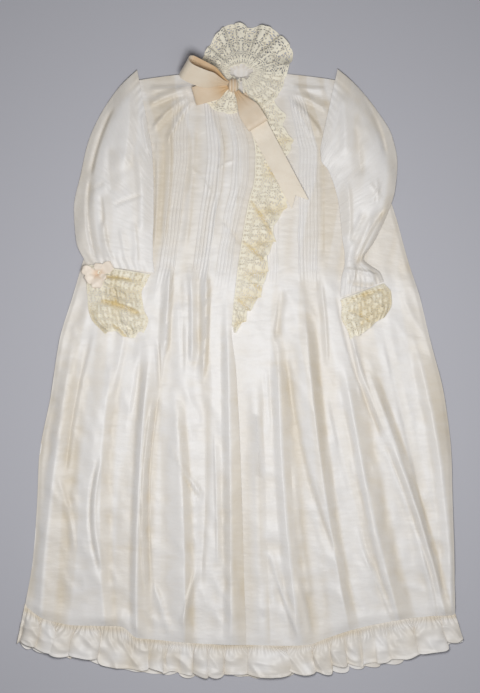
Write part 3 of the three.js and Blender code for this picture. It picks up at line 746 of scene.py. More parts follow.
def cloth_material(name, pale, warm, roughness, sheen, thread, crumple, depth):
    """Woven cloth: unevenness drawn out along its threads, a softer crumple, and warmer painted shade in its
    folds.

    thread and crumple are the width and length of a slub and of a wrinkle, and depth their two heights,
    all in millimetres.
    """
    material = bpy.data.materials.get(name)
    if material:
        return material
    material = bpy.data.materials.new(name)
    material.use_nodes = True
    tree = material.node_tree
    tree.nodes.clear()
    surface = node(tree, "ShaderNodeUVMap", uv_map="UVMap").outputs["UV"]
    normal, height = None, None
    for size, rise, strength in ((thread, depth[0], 0.4), (crumple, depth[1], 0.7)):
        scale = (1 / (size[0] * MM), 1 / (size[1] * MM), 1)
        stretched = node(tree, "ShaderNodeMapping", {"Vector": surface, "Scale": scale}).outputs["Vector"]
        grain = node(tree, "ShaderNodeTexNoise", {"Vector": stretched, "Scale": 1.0, "Detail": 3.0})
        height = grain.outputs["Fac"]
        bump = {"Height": height, "Strength": strength, "Distance": rise * MM}
        if normal:
            bump["Normal"] = normal
        normal = node(tree, "ShaderNodeBump", bump).outputs["Normal"]
    # The tone attribute gives the share of painted shade and of random mottle at each point; the crumple's
    # height adds a random patchy mottle
    tone = node(tree, "ShaderNodeAttribute", attribute_name="tone").outputs["Fac"]
    patchy = node(tree, "ShaderNodeMath", {0: height, 1: 0.3, 2: -0.13}, operation="MULTIPLY_ADD")
    toned = {0: tone, 1: patchy.outputs["Value"]}
    share = node(tree, "ShaderNodeMath", toned, operation="ADD", use_clamp=True).outputs["Value"]
    blend = node(tree, "ShaderNodeMix", {0: share, 6: (*pale, 1), 7: (*warm, 1)}, data_type="RGBA")
    look = {"Base Color": blend.outputs[2], "Roughness": roughness, "Normal": normal}
    look.update({"Sheen Weight": sheen, "Sheen Roughness": 0.4})
    shader = node(tree, "ShaderNodeBsdfPrincipled", look)
    node(tree, "ShaderNodeOutputMaterial", {"Surface": shader.outputs["BSDF"]})
    return material


def silk_habotai(colours):
    """Silk habotai, plain woven: a soft satin light with faint slubs across and a fine crumple.

    Its threads are too fine to show, so the slubs are drawn coarser than real ones, 0.9 mm thick.
    """
    return cloth_material(
        "silk habotai",
        colours.silk,
        colours.silk_shade_and_mottle,
        roughness=0.46,
        sheen=0.1,
        thread=(9, 0.9),
        crumple=(17, 7),
        depth=(0.06, 0.85),
    )


def cotton_lace(colours):
    """Cotton bobbin lace, matt: cream threads with painted shade in their folds and where layers meet.

    The twist of a thread is too fine to show, so it is drawn coarser, 0.6 mm long.
    """
    return cloth_material(
        "cotton bobbin lace",
        colours.lace,
        colours.lace_shade_and_mottle,
        roughness=0.85,
        sheen=0.1,
        thread=(0.6, 0.6),
        crumple=(5, 5),
        depth=(0.2, 0.3),
    )


def ribbed_ribbon(colours):
    """Ribbed silk ribbon: ribs across its width, about a millimetre apart, and a low sheen."""
    return cloth_material(
        "ribbed silk ribbon",
        colours.ribbon,
        colours.ribbon_shade_and_mottle,
        roughness=0.48,
        sheen=0.15,
        thread=(1.1, 40),
        crumple=(9, 9),
        depth=(0.25, 0.4),
    )


def rosette_ribbon(colours):
    """Narrow silk ribbon, plain woven: pale pink with a low sheen.

    Its weave is too fine to show, so its threads are drawn coarser, 0.8 mm apart.
    """
    return cloth_material(
        "narrow silk ribbon",
        colours.rosette,
        colours.rosette_shade_and_mottle,
        roughness=0.48,
        sheen=0.15,
        thread=(0.8, 20),
        crumple=(5, 5),
        depth=(0.15, 0.3),
    )


def body_at(level, name):
    """Column of the body's sections at a level."""
    return at(BODY, "y", name, level)


def opening_at(y):
    """Place of the opening edge across the gown."""
    return at(OPENING, "y", "x", y)


def bowed_y(level, x):
    """Height on the gown of a point of a section that bows between its side edges."""
    left, right = body_at(level, "left"), body_at(level, "right")
    across = 2 * (x - left) / (right - left) - 1
    return level + body_at(level, "bow") * (1 - across * across)


def fan_at(side, level):
    """Width of a front at a level as a share of its width where the tucks end."""

    def wide(place):
        return np.abs(body_at(place, side) - opening_at(place))

    return np.where(level < RELEASE_Y, wide(level) / wide(np.array(float(RELEASE_Y))), 1)


def left_column_x(distance, level):
    """Place across of a left front's column, given by its distance from the opening."""
    skirt = opening_at(level + body_at(level, "bow")) + distance * fan_at("right", level)
    release = opening_at(np.array(float(RELEASE_Y)))
    bodice = (distance + release) * at(LEFT_SPREAD, "y", "spread", level)
    return np.where(level < RELEASE_Y, skirt, bodice)


def right_column_x(distance, level):
    """Place across of a right front's column, given by its distance from the opening."""
    edge = opening_at(level + body_at(level, "bow"))
    bodice = mix(edge, at(TUCK_LINE, "y", "x", level), ease(distance, 5, 75)) - distance
    return np.where(level < RELEASE_Y, edge - distance * fan_at("left", level), bodice)


def lap_edge(y):
    """Place across of the lapping front's edge at a height on the gown."""
    level = np.linspace(HEM_Y, SHOULDER_Y, EDGE_ROWS)
    x = right_column_x(np.zeros(1), level)
    return np.interp(y, bowed_y(level, x), x)


def column_distances(tucks, firsts):
    """Columns of a front by distance from the opening edge, close together over its tucks."""
    places = list(firsts)
    for start, count in zip(tucks["start"], tucks["count"]):
        gap = start - places[-1]
        steps = max(2, int(gap / 2))
        places += [places[-1] + gap * k / steps for k in range(1, steps)]
        width = count * TUCK_PITCH
        places += list(start + np.arange(int(width / TUCK_COLUMN)) * TUCK_COLUMN)
        places.append(start + width)
    return np.array(places)


def tuck_height(tucks, distance):
    """Share of a tuck's height at a distance from the opening: a narrow stitched fold at each crest."""
    height = np.zeros_like(distance)
    for start, count in zip(tucks["start"], tucks["count"]):
        for k in range(int(count)):
            crest = start + (k + 0.5) * TUCK_PITCH
            height = np.maximum(height, np.exp(-(((distance - crest) / TUCK_HALF_WIDTH) ** 2)))
    return height


# How each front is cut: its side of the body, its tucks and columns, its plain part and its folds
FRONTS = {
    "front_right": {
        "side": "left",
        "tucks": RIGHT_TUCKS,
        "firsts": [0],
        "column_x": right_column_x,
        "plain": 90,
        "folds": RIGHT_FOLDS,
        "creases": RIGHT_CREASES,
        "laps": True,
    },
    "front_left": {
        "side": "right",
        "tucks": LEFT_TUCKS,
        "firsts": [-UNDERLAP, 0, 6, 12, 17, 22],
        "column_x": left_column_x,
        "plain": 96,
        "folds": LEFT_FOLDS,
        "creases": LEFT_CREASES,
        "laps": False,
    },
}


def front_grid(front, seed):
    """Grid of a front: place across, level, and share of a tuck's height in each column."""
    upper = np.linspace(SHOULDER_Y, RELEASE_Y, BODICE_ROWS)
    lower = np.linspace(RELEASE_Y, HEM_Y, SKIRT_ROWS)[1:]
    level = np.concatenate([upper, lower])[:, None]
    distance = column_distances(front["tucks"], front["firsts"])[None, :]
    wander = noise(distance, level, 22, seed + 9) * ease(distance, 0, 8)
    tucked_x = front["column_x"](distance, level) + wander * ease(level, RELEASE_Y, RELEASE_Y + 30)
    share = np.linspace(0, 1, front["plain"] + 1)[None, 1:]
    plain_x = mix(tucked_x[:, -1:], body_at(level, front["side"]), share)
    x = np.concatenate([tucked_x, plain_x], 1)
    crest = np.concatenate([tuck_height(front["tucks"], distance[0]), np.zeros(front["plain"])])
    return x, np.broadcast_to(level, x.shape), crest[None, :]


def necked_y(level, x):
    """Height on the gown of a front's points, drawn down to the neckline above the yoke."""
    across = np.clip((x - NECK_X) / NECK_HALF_WIDTH, -1, 1)
    shoulder = bowed_y(np.full_like(x, SHOULDER_Y), x)
    neckline = NECK_Y - NECK_DEPTH * np.sqrt(1 - across**2)
    top = np.where(np.abs(across) < 1, np.minimum(shoulder, neckline), shoulder)
    yoke = bowed_y(np.full_like(x, YOKE_Y), x)
    rise = np.clip((level - YOKE_Y) / (SHOULDER_Y - YOKE_Y), 0, 1)
    return np.where(level > YOKE_Y, mix(yoke, top, rise), bowed_y(level, x))


def front_relief(front, x, y, lane, skirt, sizes, seed):
    """Height of a front's folds, creases, lengthwise bands and crumples."""
    bands = noise(lane, y / 7, 17, seed + 3) + 0.4 * noise(lane, y / 6, 8, seed + 4)
    crinkle = 1 - 2 * np.abs(noise(x + 0.5 * y, y, 19, seed + 7))
    uneven = noise(x, y, 34, seed) + 0.6 * noise(x, y, 15, seed + 1) + mix(0.2, 0.9, skirt) * crinkle
    uneven = sizes.crumple / MM * uneven * mix(1, 1.5, ease(-y, 120, 300))
    folds = fold_rise(front["folds"], x, y) + fold_rise(front["creases"], x, y)
    return folds + mix(0.6, 1.6, skirt) * bands + uneven


def front_points(front, sizes, seed):
    """Points of a front's upper face, with its tone: painted shade in its hollows and beside its folds, a
    painted highlight on its tuck crests, and beige bands at random and on the plain strips between tucks.
    """
    x, level, crest = front_grid(front, seed)
    y = necked_y(level, x)
    apart = 1 - np.clip(np.convolve(crest[0], np.ones(13) / 5, "same"), 0, 1)[None, :]
    tucked = ease(level, RELEASE_Y - 26, RELEASE_Y + 6) * ease(TUCK_TOP_Y - level, 0, 10)
    skirt = 1 - ease(level, RELEASE_Y - 20, RELEASE_Y + 40)
    lane = (x - opening_at(y)) / fan_at(front["side"], level)
    soft = front_relief(front, x, y, lane, skirt, sizes, seed)
    if front["laps"]:
        hidden = left_column_x(-UNDERLAP, level)
        lift = (SILK_WALL + SEAM_GAP) * ease(x, hidden - 22, hidden - 7)
        soft = soft * mix(0.6, 1, skirt)
    else:
        lift = 0
        soft = soft * mix(0.5, 1, skirt) * ease(x - right_column_x(np.zeros(1), level), 3, 14)
    soft = np.where(soft < 0, np.tanh(soft), soft)
    from_hem = level - HEM_Y
    puffed = 0.85 * np.maximum(soft, -0.2) + at(HEM_SEAM, "x", "puff", x) + 0.5 * noise(x, 0 * y, 9, seed + 2)
    soft = mix(puffed, soft, ease(from_hem, 2, 26))
    y = y + at(HEM_SEAM, "x", "shift", x) * (1 - ease(from_hem, 0, 90))
    crest = crest * tucked * (0.75 + 0.4 * noise(lane, y / 3, 13, seed + 8))
    z = FRONT_TOP + lift + mix(0.2, soft, ease(from_hem, -2, 9)) + sizes.tuck_rise / MM * crest
    side_edge = np.abs(body_at(level, front["side"]) - x)
    z = z - SILK_WALL * (1 - ease(side_edge, 0, 5)) * (level < UNDERARM_Y)
    beige = skirt * ease(noise(lane, y / 14, 15, seed + 5), 0, 0.5)
    beige = beige + (1 - skirt) * (0.3 + 1.1 * ease(noise(lane, y / 14, 11, seed + 6), -0.1, 0.4))
    beside = np.maximum(fold_shade_bands(front["folds"], x, y), 0.7 * fold_shade_bands(front["creases"], x, y))
    # Tone: painted shade in the hollows and beside the folds, random beige bands, beige on the plain strips
    # between tucks, and a painted highlight on the tuck crests
    tone = 0.3 * troughs(soft, 14, 1.6) + 0.15 * troughs(soft, 60, 3) + 0.28 * beige + 0.42 * beside
    return (x, y, z), tone + 0.36 * apart * tucked - 0.2 * crest


def back_points(seed):
    """Points of the back's upper face, with its tone: plain, and a little gathered inside the neck, with
    painted shade in the gathers and near the neck.
    """
    level = np.linspace(SHOULDER_Y, HEM_Y, BACK_ROWS)[:, None]
    share = np.linspace(0, 1, BACK_COLUMNS)[None, :]
    x = mix(body_at(level, "left"), body_at(level, "right"), share)
    y = bowed_y(np.broadcast_to(level, x.shape), x)
    across = np.clip((x - NECK_X) / (NECK_HALF_WIDTH + NECK_BACK_RISE), -1, 1)
    y = y + NECK_BACK_RISE * (1 - across**2) * ease(level, YOKE_Y, SHOULDER_Y)
    near_neck = ease(y, 280, 315)
    gathers = np.cos(x * 2 * np.pi / 7 + 2 * noise(x, y, 15, seed + 1)) * near_neck
    z = 0.8 + 0.2 * noise(x, y, 40, seed) + 0.2 * gathers
    # Tone: painted shade in the hollows of the gathers, and a little more near the neck
    return (x, y, z), 0.1 + 0.1 * near_neck - 0.1 * gathers


class GOWN_OT_body(bpy.types.Operator):
    """Back and two tucked fronts"""

    bl_idname = "gown.body"
    bl_label = "Body"

    def execute(self, context):
        sizes, colours = context.scene.gown_sizes, context.scene.gown_colours
        silk = silk_habotai(colours)
        points, tone = back_points(SEEDS["back"])
        back = cloth("back", points, sizes.silk, silk, points[:2], tone)
        finish_piece(back, "back")
        for name, front in FRONTS.items():
            points, tone = front_points(front, sizes, SEEDS[name])
            piece = cloth(name, points, sizes.silk, silk, points[:2], tone)
            finish_piece(piece, name)
        return {"FINISHED"}


def sleeve_seat(x, y):
    """Layer that a sleeve lies on: the fronts over the body, easing down to the surface beside it."""
    share = np.clip((SHOULDER_Y - y) / (SHOULDER_Y - UNDERARM_Y), 0, 1)

    def edge(name):
        shoulder, underarm = (body_at(np.array(float(v)), name) for v in (SHOULDER_Y, UNDERARM_Y))
        return np.where(y > UNDERARM_Y, mix(shoulder, underarm, share), body_at(y, name))

    beyond = np.maximum(edge("left") - x, x - edge("right"))
    return ON_FRONT * (1 - ease(beyond, *SIDE_EASE))


def tube_points(table, wall, around, down, shape):
    """Points round a flattened tube, upper face first; shape gives that face's height above the lower."""
    along = np.linspace(0, 1, down)[:, None]
    half = 0.5 - 0.5 * np.cos(np.linspace(0, np.pi, around))
    place = np.concatenate([half, half[-2::-1]])[None, :]
    upper = np.concatenate([np.ones(around), np.zeros(around - 1)])[None, :]
    return tube_at(table, wall, place, along, upper, shape), place


def tube_at(table, wall, place, along, upper, shape):
    """Points of a flattened tube at places across it and shares along it."""
    outer_x, outer_y, inner_x, inner_y, loft = (along_rows(table, k, along) for k in TUBE.split())
    x = mix(outer_x, inner_x, place)
    y = mix(outer_y, inner_y, place)
    full = np.sqrt(np.clip(np.sin(np.pi * place), 0, 1))
    base = sleeve_seat(x, y) + wall
    height = (wall + TUBE_EDGE + loft) * full + shape(x, y, place, along) * ease(full, 0.25, 0.8)
    return x, y, base + np.where(upper > 0.5, np.maximum(height, 0.5 * full), -0.4 * wall * full)


def sleeve_shape(creases, seed):
    """Function for the height of a sleeve's creases, its puckers at the wrist and its gathered head."""

    def shape(x, y, place, along):
        soft = 1.2 * fold_rise(creases, x, y)
        soft = soft + 0.5 * noise(x, y, 26, seed) + 0.4 * noise(x, y, 11, seed + 1)
        wrist = ease(along, 0.8, 1)
        puckers = 0.45 * np.cos(2 * np.pi * 9 * place + 2 * noise(x, y, 20, seed + 2))
        head = 0.25 * np.cos(2 * np.pi * 11 * place) * (1 - ease(along, 0, 0.12))
        return soft + 2.0 * np.sin(np.pi * along) + wrist * puckers + head

    return shape


class GOWN_OT_sleeves(bpy.types.Operator):
    """Two full sleeves gathered at the wrist"""

    bl_idname = "gown.sleeves"
    bl_label = "Sleeves"

    def execute(self, context):
        sizes, colours = context.scene.gown_sizes, context.scene.gown_colours
        silk = silk_habotai(colours)
        sleeves = (
            ("sleeve_right", RIGHT_SLEEVE, RIGHT_SLEEVE_CREASES),
            ("sleeve_left", LEFT_SLEEVE, LEFT_SLEEVE_CREASES),
        )
        for name, table, creases in sleeves:
            seed = SEEDS[name]
            shape = sleeve_shape(creases, seed)
            (x, y, z), place = tube_points(table, SILK_WALL, SLEEVE_COLUMNS, SLEEVE_ROWS, shape)
            # Tone: painted shade in the hollows, beside the creases and along the outer edge, with random
            # beige patches
            tone = 0.35 * troughs(z, 8, 1.6) + 0.2 * ease(noise(x, y / 3, 17, seed + 3), 0, 0.5)
            tone = tone + 0.4 * fold_shade_bands(creases, x, y) + 0.35 * ease(0.22 - place, 0, 0.1)
            spread = np.linspace(0, 1, x.shape[1])[None, :] * CUTS[name][0] / MM
            drop = np.linspace(0, 1, x.shape[0])[:, None] * CUTS[name][1] / MM
            piece = cloth(name, (x, y, z), sizes.silk, silk, (spread, drop), tone, tube=True)
            finish_piece(piece, name)
        return {"FINISHED"}


def ruffle_points(waves, rise, depth, seat, raised, grid, sizes, seed):
    """Points of a gathered strip along the hem: fine puckers at its seam, uneven folds at its free edge."""
    columns, down = grid
    share = np.linspace(0, 1, columns)[None, :]
    along = np.linspace(0, 1, down)[:, None]
    fold, still = share * waves, 0 * share
    left, right = (body_at(np.array(float(HEM_Y)), k) for k in ("left", "right"))
    phase = gather_wave(share, waves, *RUFFLE_SWAY) + 2.2 * noise(fold, still, 1.7, seed + 6)
    width = 2 * np.pi * (right - left) / np.gradient(phase, share[0], axis=1)
    wave = 0.5 - 0.5 * np.cos(phase)
    uneven = np.clip(0.75 + 0.9 * noise(fold, still, 1.3, seed), 0.2, 1.5)
    loose = ease(along, 0, 0.55)
    seam_x = np.broadcast_to(mix(left, right, share), (down, columns))
    x = mix(left - RUFFLE_SPREAD * along, right + RUFFLE_SPREAD * along, share)
    ends = ease(share, 0, 0.03) * ease(1 - share, 0, 0.03)
    lean = 1.6 * noise(fold, along * 2, 1.1, seed + 3)
    x = x + loose * ends * (1.3 * rise * lean * wave - 0.21 * uneven * np.minimum(width, 40) * np.sin(phase))
    seam_y = bowed_y(np.full_like(x, HEM_Y), seam_x) + RUFFLE_TURN_IN
    ragged = noise(fold, still, 0.45, seed + 4) + 0.2
    dip = uneven * (1.9 * np.sin(phase + 0.9) - 1.2 * wave) + 3.8 * ragged
    free_y = seam_y - depth - RUFFLE_TURN_IN + dip
    y = mix(seam_y + at(HEM_SEAM, "x", "shift", seam_x), free_y, along)
    pucker = np.cos(2 * np.pi * 5 * waves * share + 4 * noise(share * 60, along * 3, 2, seed + 1))
    z = seat + SILK_WALL + along * raised + rise * wave * uneven * loose
    z = z + sizes.pucker / MM * pucker * ease(along, 0.06, 0.14) * (1 - ease(along, 0.14, 0.5))
    crinkle = 0.3 * rise * (1 - 2 * np.abs(noise(x + 0.7 * y, y, 13, seed + 7)))
    z = z + (1.1 * noise(x, y, 10, seed + 2) + crinkle) * loose - 0.8 * (1 - ease(along, 0, 0.1))
    z = z + sizes.rolled_hem / MM * ease(along, 0.92, 0.96)
    # Tone: painted shade in the folds' hollows and along the gathered seam, with random mottle
    seam_shade = 1 - ease(along, 0.08, 0.26)
    tone = 0.2 + 0.35 * (1 - wave) * loose + 0.6 * seam_shade + 0.3 * noise(x, y, 13, seed + 5)
    return (x, y, np.maximum(z, seat + 0.5)), (share * RUFFLE_LENGTH, along * depth), tone


class GOWN_OT_hem(bpy.types.Operator):
    """Gathered ruffles along the hem, back and front"""

    bl_idname = "gown.hem"
    bl_label = "Hem ruffles"

    def execute(self, context):
        sizes, colours = context.scene.gown_sizes, context.scene.gown_colours
        silk = silk_habotai(colours)
        for name, under in (("hem_ruffle_back", "floor"), ("hem_ruffle_front", "hem_ruffle_back")):
            points, uv, tone = ruffle_points(**RUFFLES[name], sizes=sizes, seed=SEEDS[name])
            piece = cloth(name, points, sizes.silk, silk, uv, tone)
            finish_piece(piece, name)
        return {"FINISHED"}


class GOWN_OT_neck(bpy.types.Operator):
    """Band round the neck"""

    bl_idname = "gown.neck"
    bl_label = "Neckband"

    def execute(self, context):
        sizes, colours = context.scene.gown_sizes, context.scene.gown_colours
        turn = np.linspace(0, 2 * np.pi, BAND_COLUMNS)[None, :]
        up = np.linspace(0, 1, BAND_ROWS)[:, None]
        pucker = np.sin(15 * turn + 2 * np.sin(2 * turn))
        radius = BAND_HALF_WIDTH - BAND_SLANT * (1 - up) + 0.5 * pucker * up
        x = NECK_X + radius * np.cos(turn)
        y = NECK_Y + radius * np.sin(turn) * BAND_HALF_DEPTH / BAND_HALF_WIDTH
        z = FRONT_SEAT + (BAND_HEIGHT + 0.5 * np.sin(3 * turn)) * up
        # Tone: a warm ground with painted shade following the band's puckers
        silk, uv, tone = silk_habotai(colours), (turn * 20, up * BAND_HEIGHT), 0.3 + 0.2 * pucker
        piece = cloth("neckband", (x, y, z), sizes.silk, silk, uv, tone, tube=True)
        finish_piece(piece, "neckband")
        return {"FINISHED"}


def lace_motifs(u, v, depth, repeat):
    """Motifs of bobbin lace: positive on a flower, leaf or stem, its pierced border or its heading."""
    step = 0.85 * repeat
    row = np.floor(v / step)
    side = ((u / repeat + 0.5 * (row % 2)) % 1 - 0.5) * repeat
    up = v - (row + 0.5) * step
    radius, turn = np.hypot(side, up), np.arctan2(up, side)
    flower = 0.33 * repeat * (0.78 + 0.22 * np.cos(6 * turn + row)) - radius
    flower = np.minimum(flower, radius - 0.05 * repeat)
    apart = repeat / 2 - np.abs(side)
    leaf = 1 - np.hypot(apart / (0.12 * repeat), up / (0.34 * repeat))
    stem = 0.4 - np.abs(np.abs(up) - 0.42 * step - 0.04 * repeat * np.cos(2 * np.pi * side / repeat))
    edge = lace_edge(u, depth, repeat)
    eyelet = np.hypot((u / 2.9 % 1 - 0.5) * 2.9, v - edge + 1.7) - 0.75
    border = np.minimum(v - edge + 3.0, eyelet)
    return np.maximum.reduce([flower, 1.5 * leaf, stem, border, 1.4 - v])


def lace_edge(u, depth, repeat):
    """Depth of the scalloped free edge along the lace."""
    side = (u / repeat) % 1 - 0.5
    return depth - 0.16 * repeat * (1 - np.sqrt(np.clip(1 - (1.9 * side) ** 2, 0, 1)))


def floral_lace(u, v, depth, repeat):
    """Bobbin lace: positive on a motif or on a thread of its diamond net, inside its scalloped edge."""
    step = lace_thread() * 4
    along, across = (np.abs((w / math.sqrt(2) / step) % 1 - 0.5) * step for w in (u + v, u - v))
    net = lace_thread() / 2 - np.minimum(along, across)
    return np.minimum(np.maximum(net, lace_motifs(u, v, depth, repeat)), lace_edge(u, depth, repeat) - v)


def lace_thread():
    """Width of a lace thread in millimetres, drawn coarser than a real one so that the net shows."""
    return bpy.context.scene.gown_sizes.lace_thread / MM


def lace_cells(run, depth, repeat):
    """Cells of a fine diagonal grid that the lace's pattern fills, with their edges drawn to the pattern's.

    Returns the places of the cells' corners along and down the flat lace, and the corners of each cell.
    """
    cell = lace_thread()
    count = int((run + depth) / math.sqrt(2) / cell) + 2
    side = (np.arange(count + 1) - 0.5) * cell
    p, q = np.meshgrid(side, side - depth / math.sqrt(2), indexing="ij")
    u, v = (p + q) / math.sqrt(2), (p - q) / math.sqrt(2)
    centre_u, centre_v = u[:-1, :-1] + cell / math.sqrt(2), v[:-1, :-1]
    inside = (centre_u > 0) & (centre_u < run) & (centre_v > 0)
    keep = inside & (floral_lace(centre_u, centre_v, depth, repeat) > 0)
    around = np.zeros(u.shape)
    for a in (0, 1):
        for b in (0, 1):
            around[a : a + count, b : b + count] += keep
    value = floral_lace(u, v, depth, repeat)
    nudge = 0.05
    slope_u = (floral_lace(u + nudge, v, depth, repeat) - value) / nudge
    slope_v = (floral_lace(u, v + nudge, depth, repeat) - value) / nudge
    back = np.where((around > 0) & (around < 4), value / (slope_u**2 + slope_v**2 + 0.3), 0)
    back = np.clip(back, -0.35 * cell, 0.35 * cell)
    u, v = np.clip(u - back * slope_u, 0, run), np.clip(v - back * slope_v, 0, depth)
    used = around > 0
    number = np.cumsum(used).reshape(used.shape) - 1
    a, b = np.nonzero(keep)
    faces = np.stack([number[a, b], number[a + 1, b], number[a + 1, b + 1], number[a, b + 1]], -1)
    return u[used], v[used], faces


def flat_area(u, v, faces):
    """Area of a mesh's faces on the flat cloth, in square metres."""
    u, v = u[faces], v[faces]
    one = (u[:, 2] - u[:, 0]) * (v[:, 3] - v[:, 1])
    other = (v[:, 2] - v[:, 0]) * (u[:, 3] - u[:, 1])
    return float(np.abs(one - other).sum() / 2 * MM**2)


def lace(name, extent, repeat, place, material):
    """Lace as one joined mesh laid on its frill, with the flat area of its threads and motifs."""
    run, depth = extent
    u, v, faces = lace_cells(run, depth, repeat)
    x, y, z, tone = place(u, v)
    # The net is painted darker than the motifs: painted shade standing in for the shadow seen through its
    # open ground
    tone = tone + 0.3 * (1 - ease(lace_motifs(u, v, depth, repeat), -0.6, 0.4))
    mesh = bpy.data.meshes.new(f"gown_{name}")
    points = np.stack([x, y, z], -1) * MM
    mesh.from_pydata(points.tolist(), [], faces.tolist())
    if mesh.validate():
        raise RuntimeError(f"{name}: the lace has broken faces")
    mesh.update()
    dress(mesh, mesh.uv_layers.new(name="UVMap"), np.stack([u, v], -1), tone)
    mesh.materials.append(material)
    piece = bpy.data.objects.new(f"gown_{name}", mesh)
    bpy.context.scene.collection.objects.link(piece)
    select_only(piece)
    bpy.ops.object.shade_smooth()
    return piece, flat_area(u, v, faces)


def collar_place(u, v):
    """Place of a point of the collar's lace on its waves round the neck."""
    share, along = u / COLLAR_EXTENT[0], v / COLLAR_EXTENT[1]
    seed = SEEDS["collar_lace"]
    phase = gather_wave(share, COLLAR_WAVES, 1, 9) + 1.8 * noise(u, v, 30, seed)
    wave = 0.5 - 0.5 * np.cos(phase)
    angle = mix(COLLAR["angle"][0], COLLAR["angle"][-1], share) + 1.6 * np.sin(2 * phase) * along
    turn = np.radians(angle)
    reach = at(COLLAR, "angle", "reach", angle) * (1 + 0.05 * noise(u, 0 * v, 19, seed + 1))
    heading = 2.5 * noise(u, 0 * v, 7, seed + 4) - 4
    x = NECK_X + mix(BAND_HALF_WIDTH + heading, reach, along) * np.cos(turn)
    y = NECK_Y + mix(BAND_HALF_DEPTH + 0.7 * heading, reach, along) * np.sin(turn)
    seat = ON_LAP * (1 - ease(y - NECK_Y, 7, 20))
    top = FRONT_SEAT + BAND_HEIGHT + SEAM_GAP
    rise = at(COLLAR, "angle", "wave", angle) * (1 + 0.4 * noise(u, 0 * v, 33, seed + 2))
    crumple = 1.8 * np.maximum(noise(x, y, 9, seed + 3), 0)
    z = mix(top, seat, ease(along, 0.1, 0.9)) + rise * wave * along + crumple * along
    # Tone: painted shade in the troughs of the waves, growing towards the free edge
    return x, y, z + 0.5 * LACE_WALL, 0.16 * (1 - wave) * along - 0.13


def jabot_place(u, v):
    """Place of a point of the jabot's lace, in folds that fall from the opening edge."""
    along, share = u / JABOT_EXTENT[0], v / JABOT_EXTENT[1]
    seed = SEEDS["jabot_lace"]
    y = mix(JABOT["y"][0], JABOT["y"][-1], along)
    phase = gather_wave(along, JABOT_WAVES, 2, 7) + 1.6 * share + 0.8 * noise(u, v, 24, seed + 2)
    wave = 0.5 - 0.5 * np.cos(phase)
    rise = at(JABOT, "y", "rise", y)
    reach = at(JABOT, "y", "reach", y) * (1 - 0.14 * wave)
    x = lap_edge(y) + 2 * SEAM_GAP + reach * share + 1.4 * noise(u, v, 11, seed + 3) * ease(share, 0, 0.2)
    sway = 0.7 * rise * np.sin(2 * phase) * share
    y = y - at(JABOT, "y", "drop", y) * share + sway + 1.4 * noise(u, v, 11, seed + 4) * share
    folds = fold_rise(JABOT_FOLDS, x, y)
    z = ON_TUCKS + 0.5 * LACE_WALL + rise * wave * share + 0.15 * rise * noise(x, y, 9, seed) * share
    z = np.maximum(z + folds, ON_TUCKS + 0.3)
    # Painted shade in the troughs of the waves and in the hollows of the creases
    shade = 0.45 * (1 - wave) ** 2 * ease(share, 0.05, 0.5) * ease(rise, 0.5, 3)
    return x, y, z, shade + 0.5 * np.clip(-folds / 2, 0, 1)


def cuff_place(table, creases, extent, seed):
    """Function for the place of a point of a cuff's lace, crushed round its flattened tube."""
    run, depth = extent
    edge_seed = SEEDS["cuff_edges"]

    def shape(x, y, place, along):
        phase = 2 * np.pi * CUFF_WAVES * place + 2.4 * noise(x, y, 16, seed + 6)
        ripple = 1.6 * along * (0.5 - 0.5 * np.cos(phase))
        crush = 1.6 * noise(x, y, 13, seed + 5) + 1.0 * noise(x, y, 6, seed + 7)
        return 2.2 + ripple + crush + fold_rise(creases, x, y)

    def place(u, v):
        turn = u / run
        upper = (turn < 0.5).astype(float)
        across = np.where(turn < 0.5, 2 * turn, 2 - 2 * turn)
        along = v / depth * (0.95 + 0.05 * noise(9 * across, 0 * v, 1.3, edge_seed))
        x, y, z = tube_at(table, LACE_WALL, across, along, upper, shape)
        x = x + 2.4 * noise(x, y, 18, edge_seed + 1) * ease(along, 0, 0.15)
        y = y + 2.0 * noise(x, y, 24, edge_seed + 2)
        # Tone: painted shade in the hollows of the creases, with a random mottle
        crushed = np.clip(-fold_rise(creases, x, y) / 2.4, 0, 1)
        return x, y, z, 0.6 * crushed + 0.4 * np.clip(noise(x, y / 1.6, 13, edge_seed + 4), 0, 1)

    return place


class GOWN_OT_lace(bpy.types.Operator):
    """Lace collar, jabot and cuffs"""

    bl_idname = "gown.lace"
    bl_label = "Lace"

    def execute(self, context):
        cotton = cotton_lace(context.scene.gown_colours)
        frills = [
            ("collar_lace", COLLAR_EXTENT, COLLAR_REPEAT, collar_place, "neckband"),
            ("jabot_lace", JABOT_EXTENT, FRILL_REPEAT, jabot_place, "front_left"),
        ]
        cuffs = (
            ("cuff_lace_right", RIGHT_CUFF, RIGHT_CUFF_CREASES, RIGHT_CUFF_EXTENT, "front_right"),
            ("cuff_lace_left", LEFT_CUFF, LEFT_CUFF_CREASES, LEFT_CUFF_EXTENT, "front_left"),
        )
        for name, table, creases, extent, under in cuffs:
            place = cuff_place(table, creases, extent, SEEDS[name])
            frills.append((name, extent, FRILL_REPEAT, place, under))
        for name, extent, repeat, place, under in frills:
            piece, area = lace(name, extent, repeat, place, cotton)
            finish_piece(piece, name)
        return {"FINISHED"}


def ribbon_strip(path, widths, around):
    """Points of a ribbon along a path of points, a row for each; widths give its half width at each."""
    x, z = (np.repeat(path[:, k : k + 1], around, 1) for k in (0, 1))
    return x, widths[:, None] * np.linspace(-1, 1, around)[None, :], z


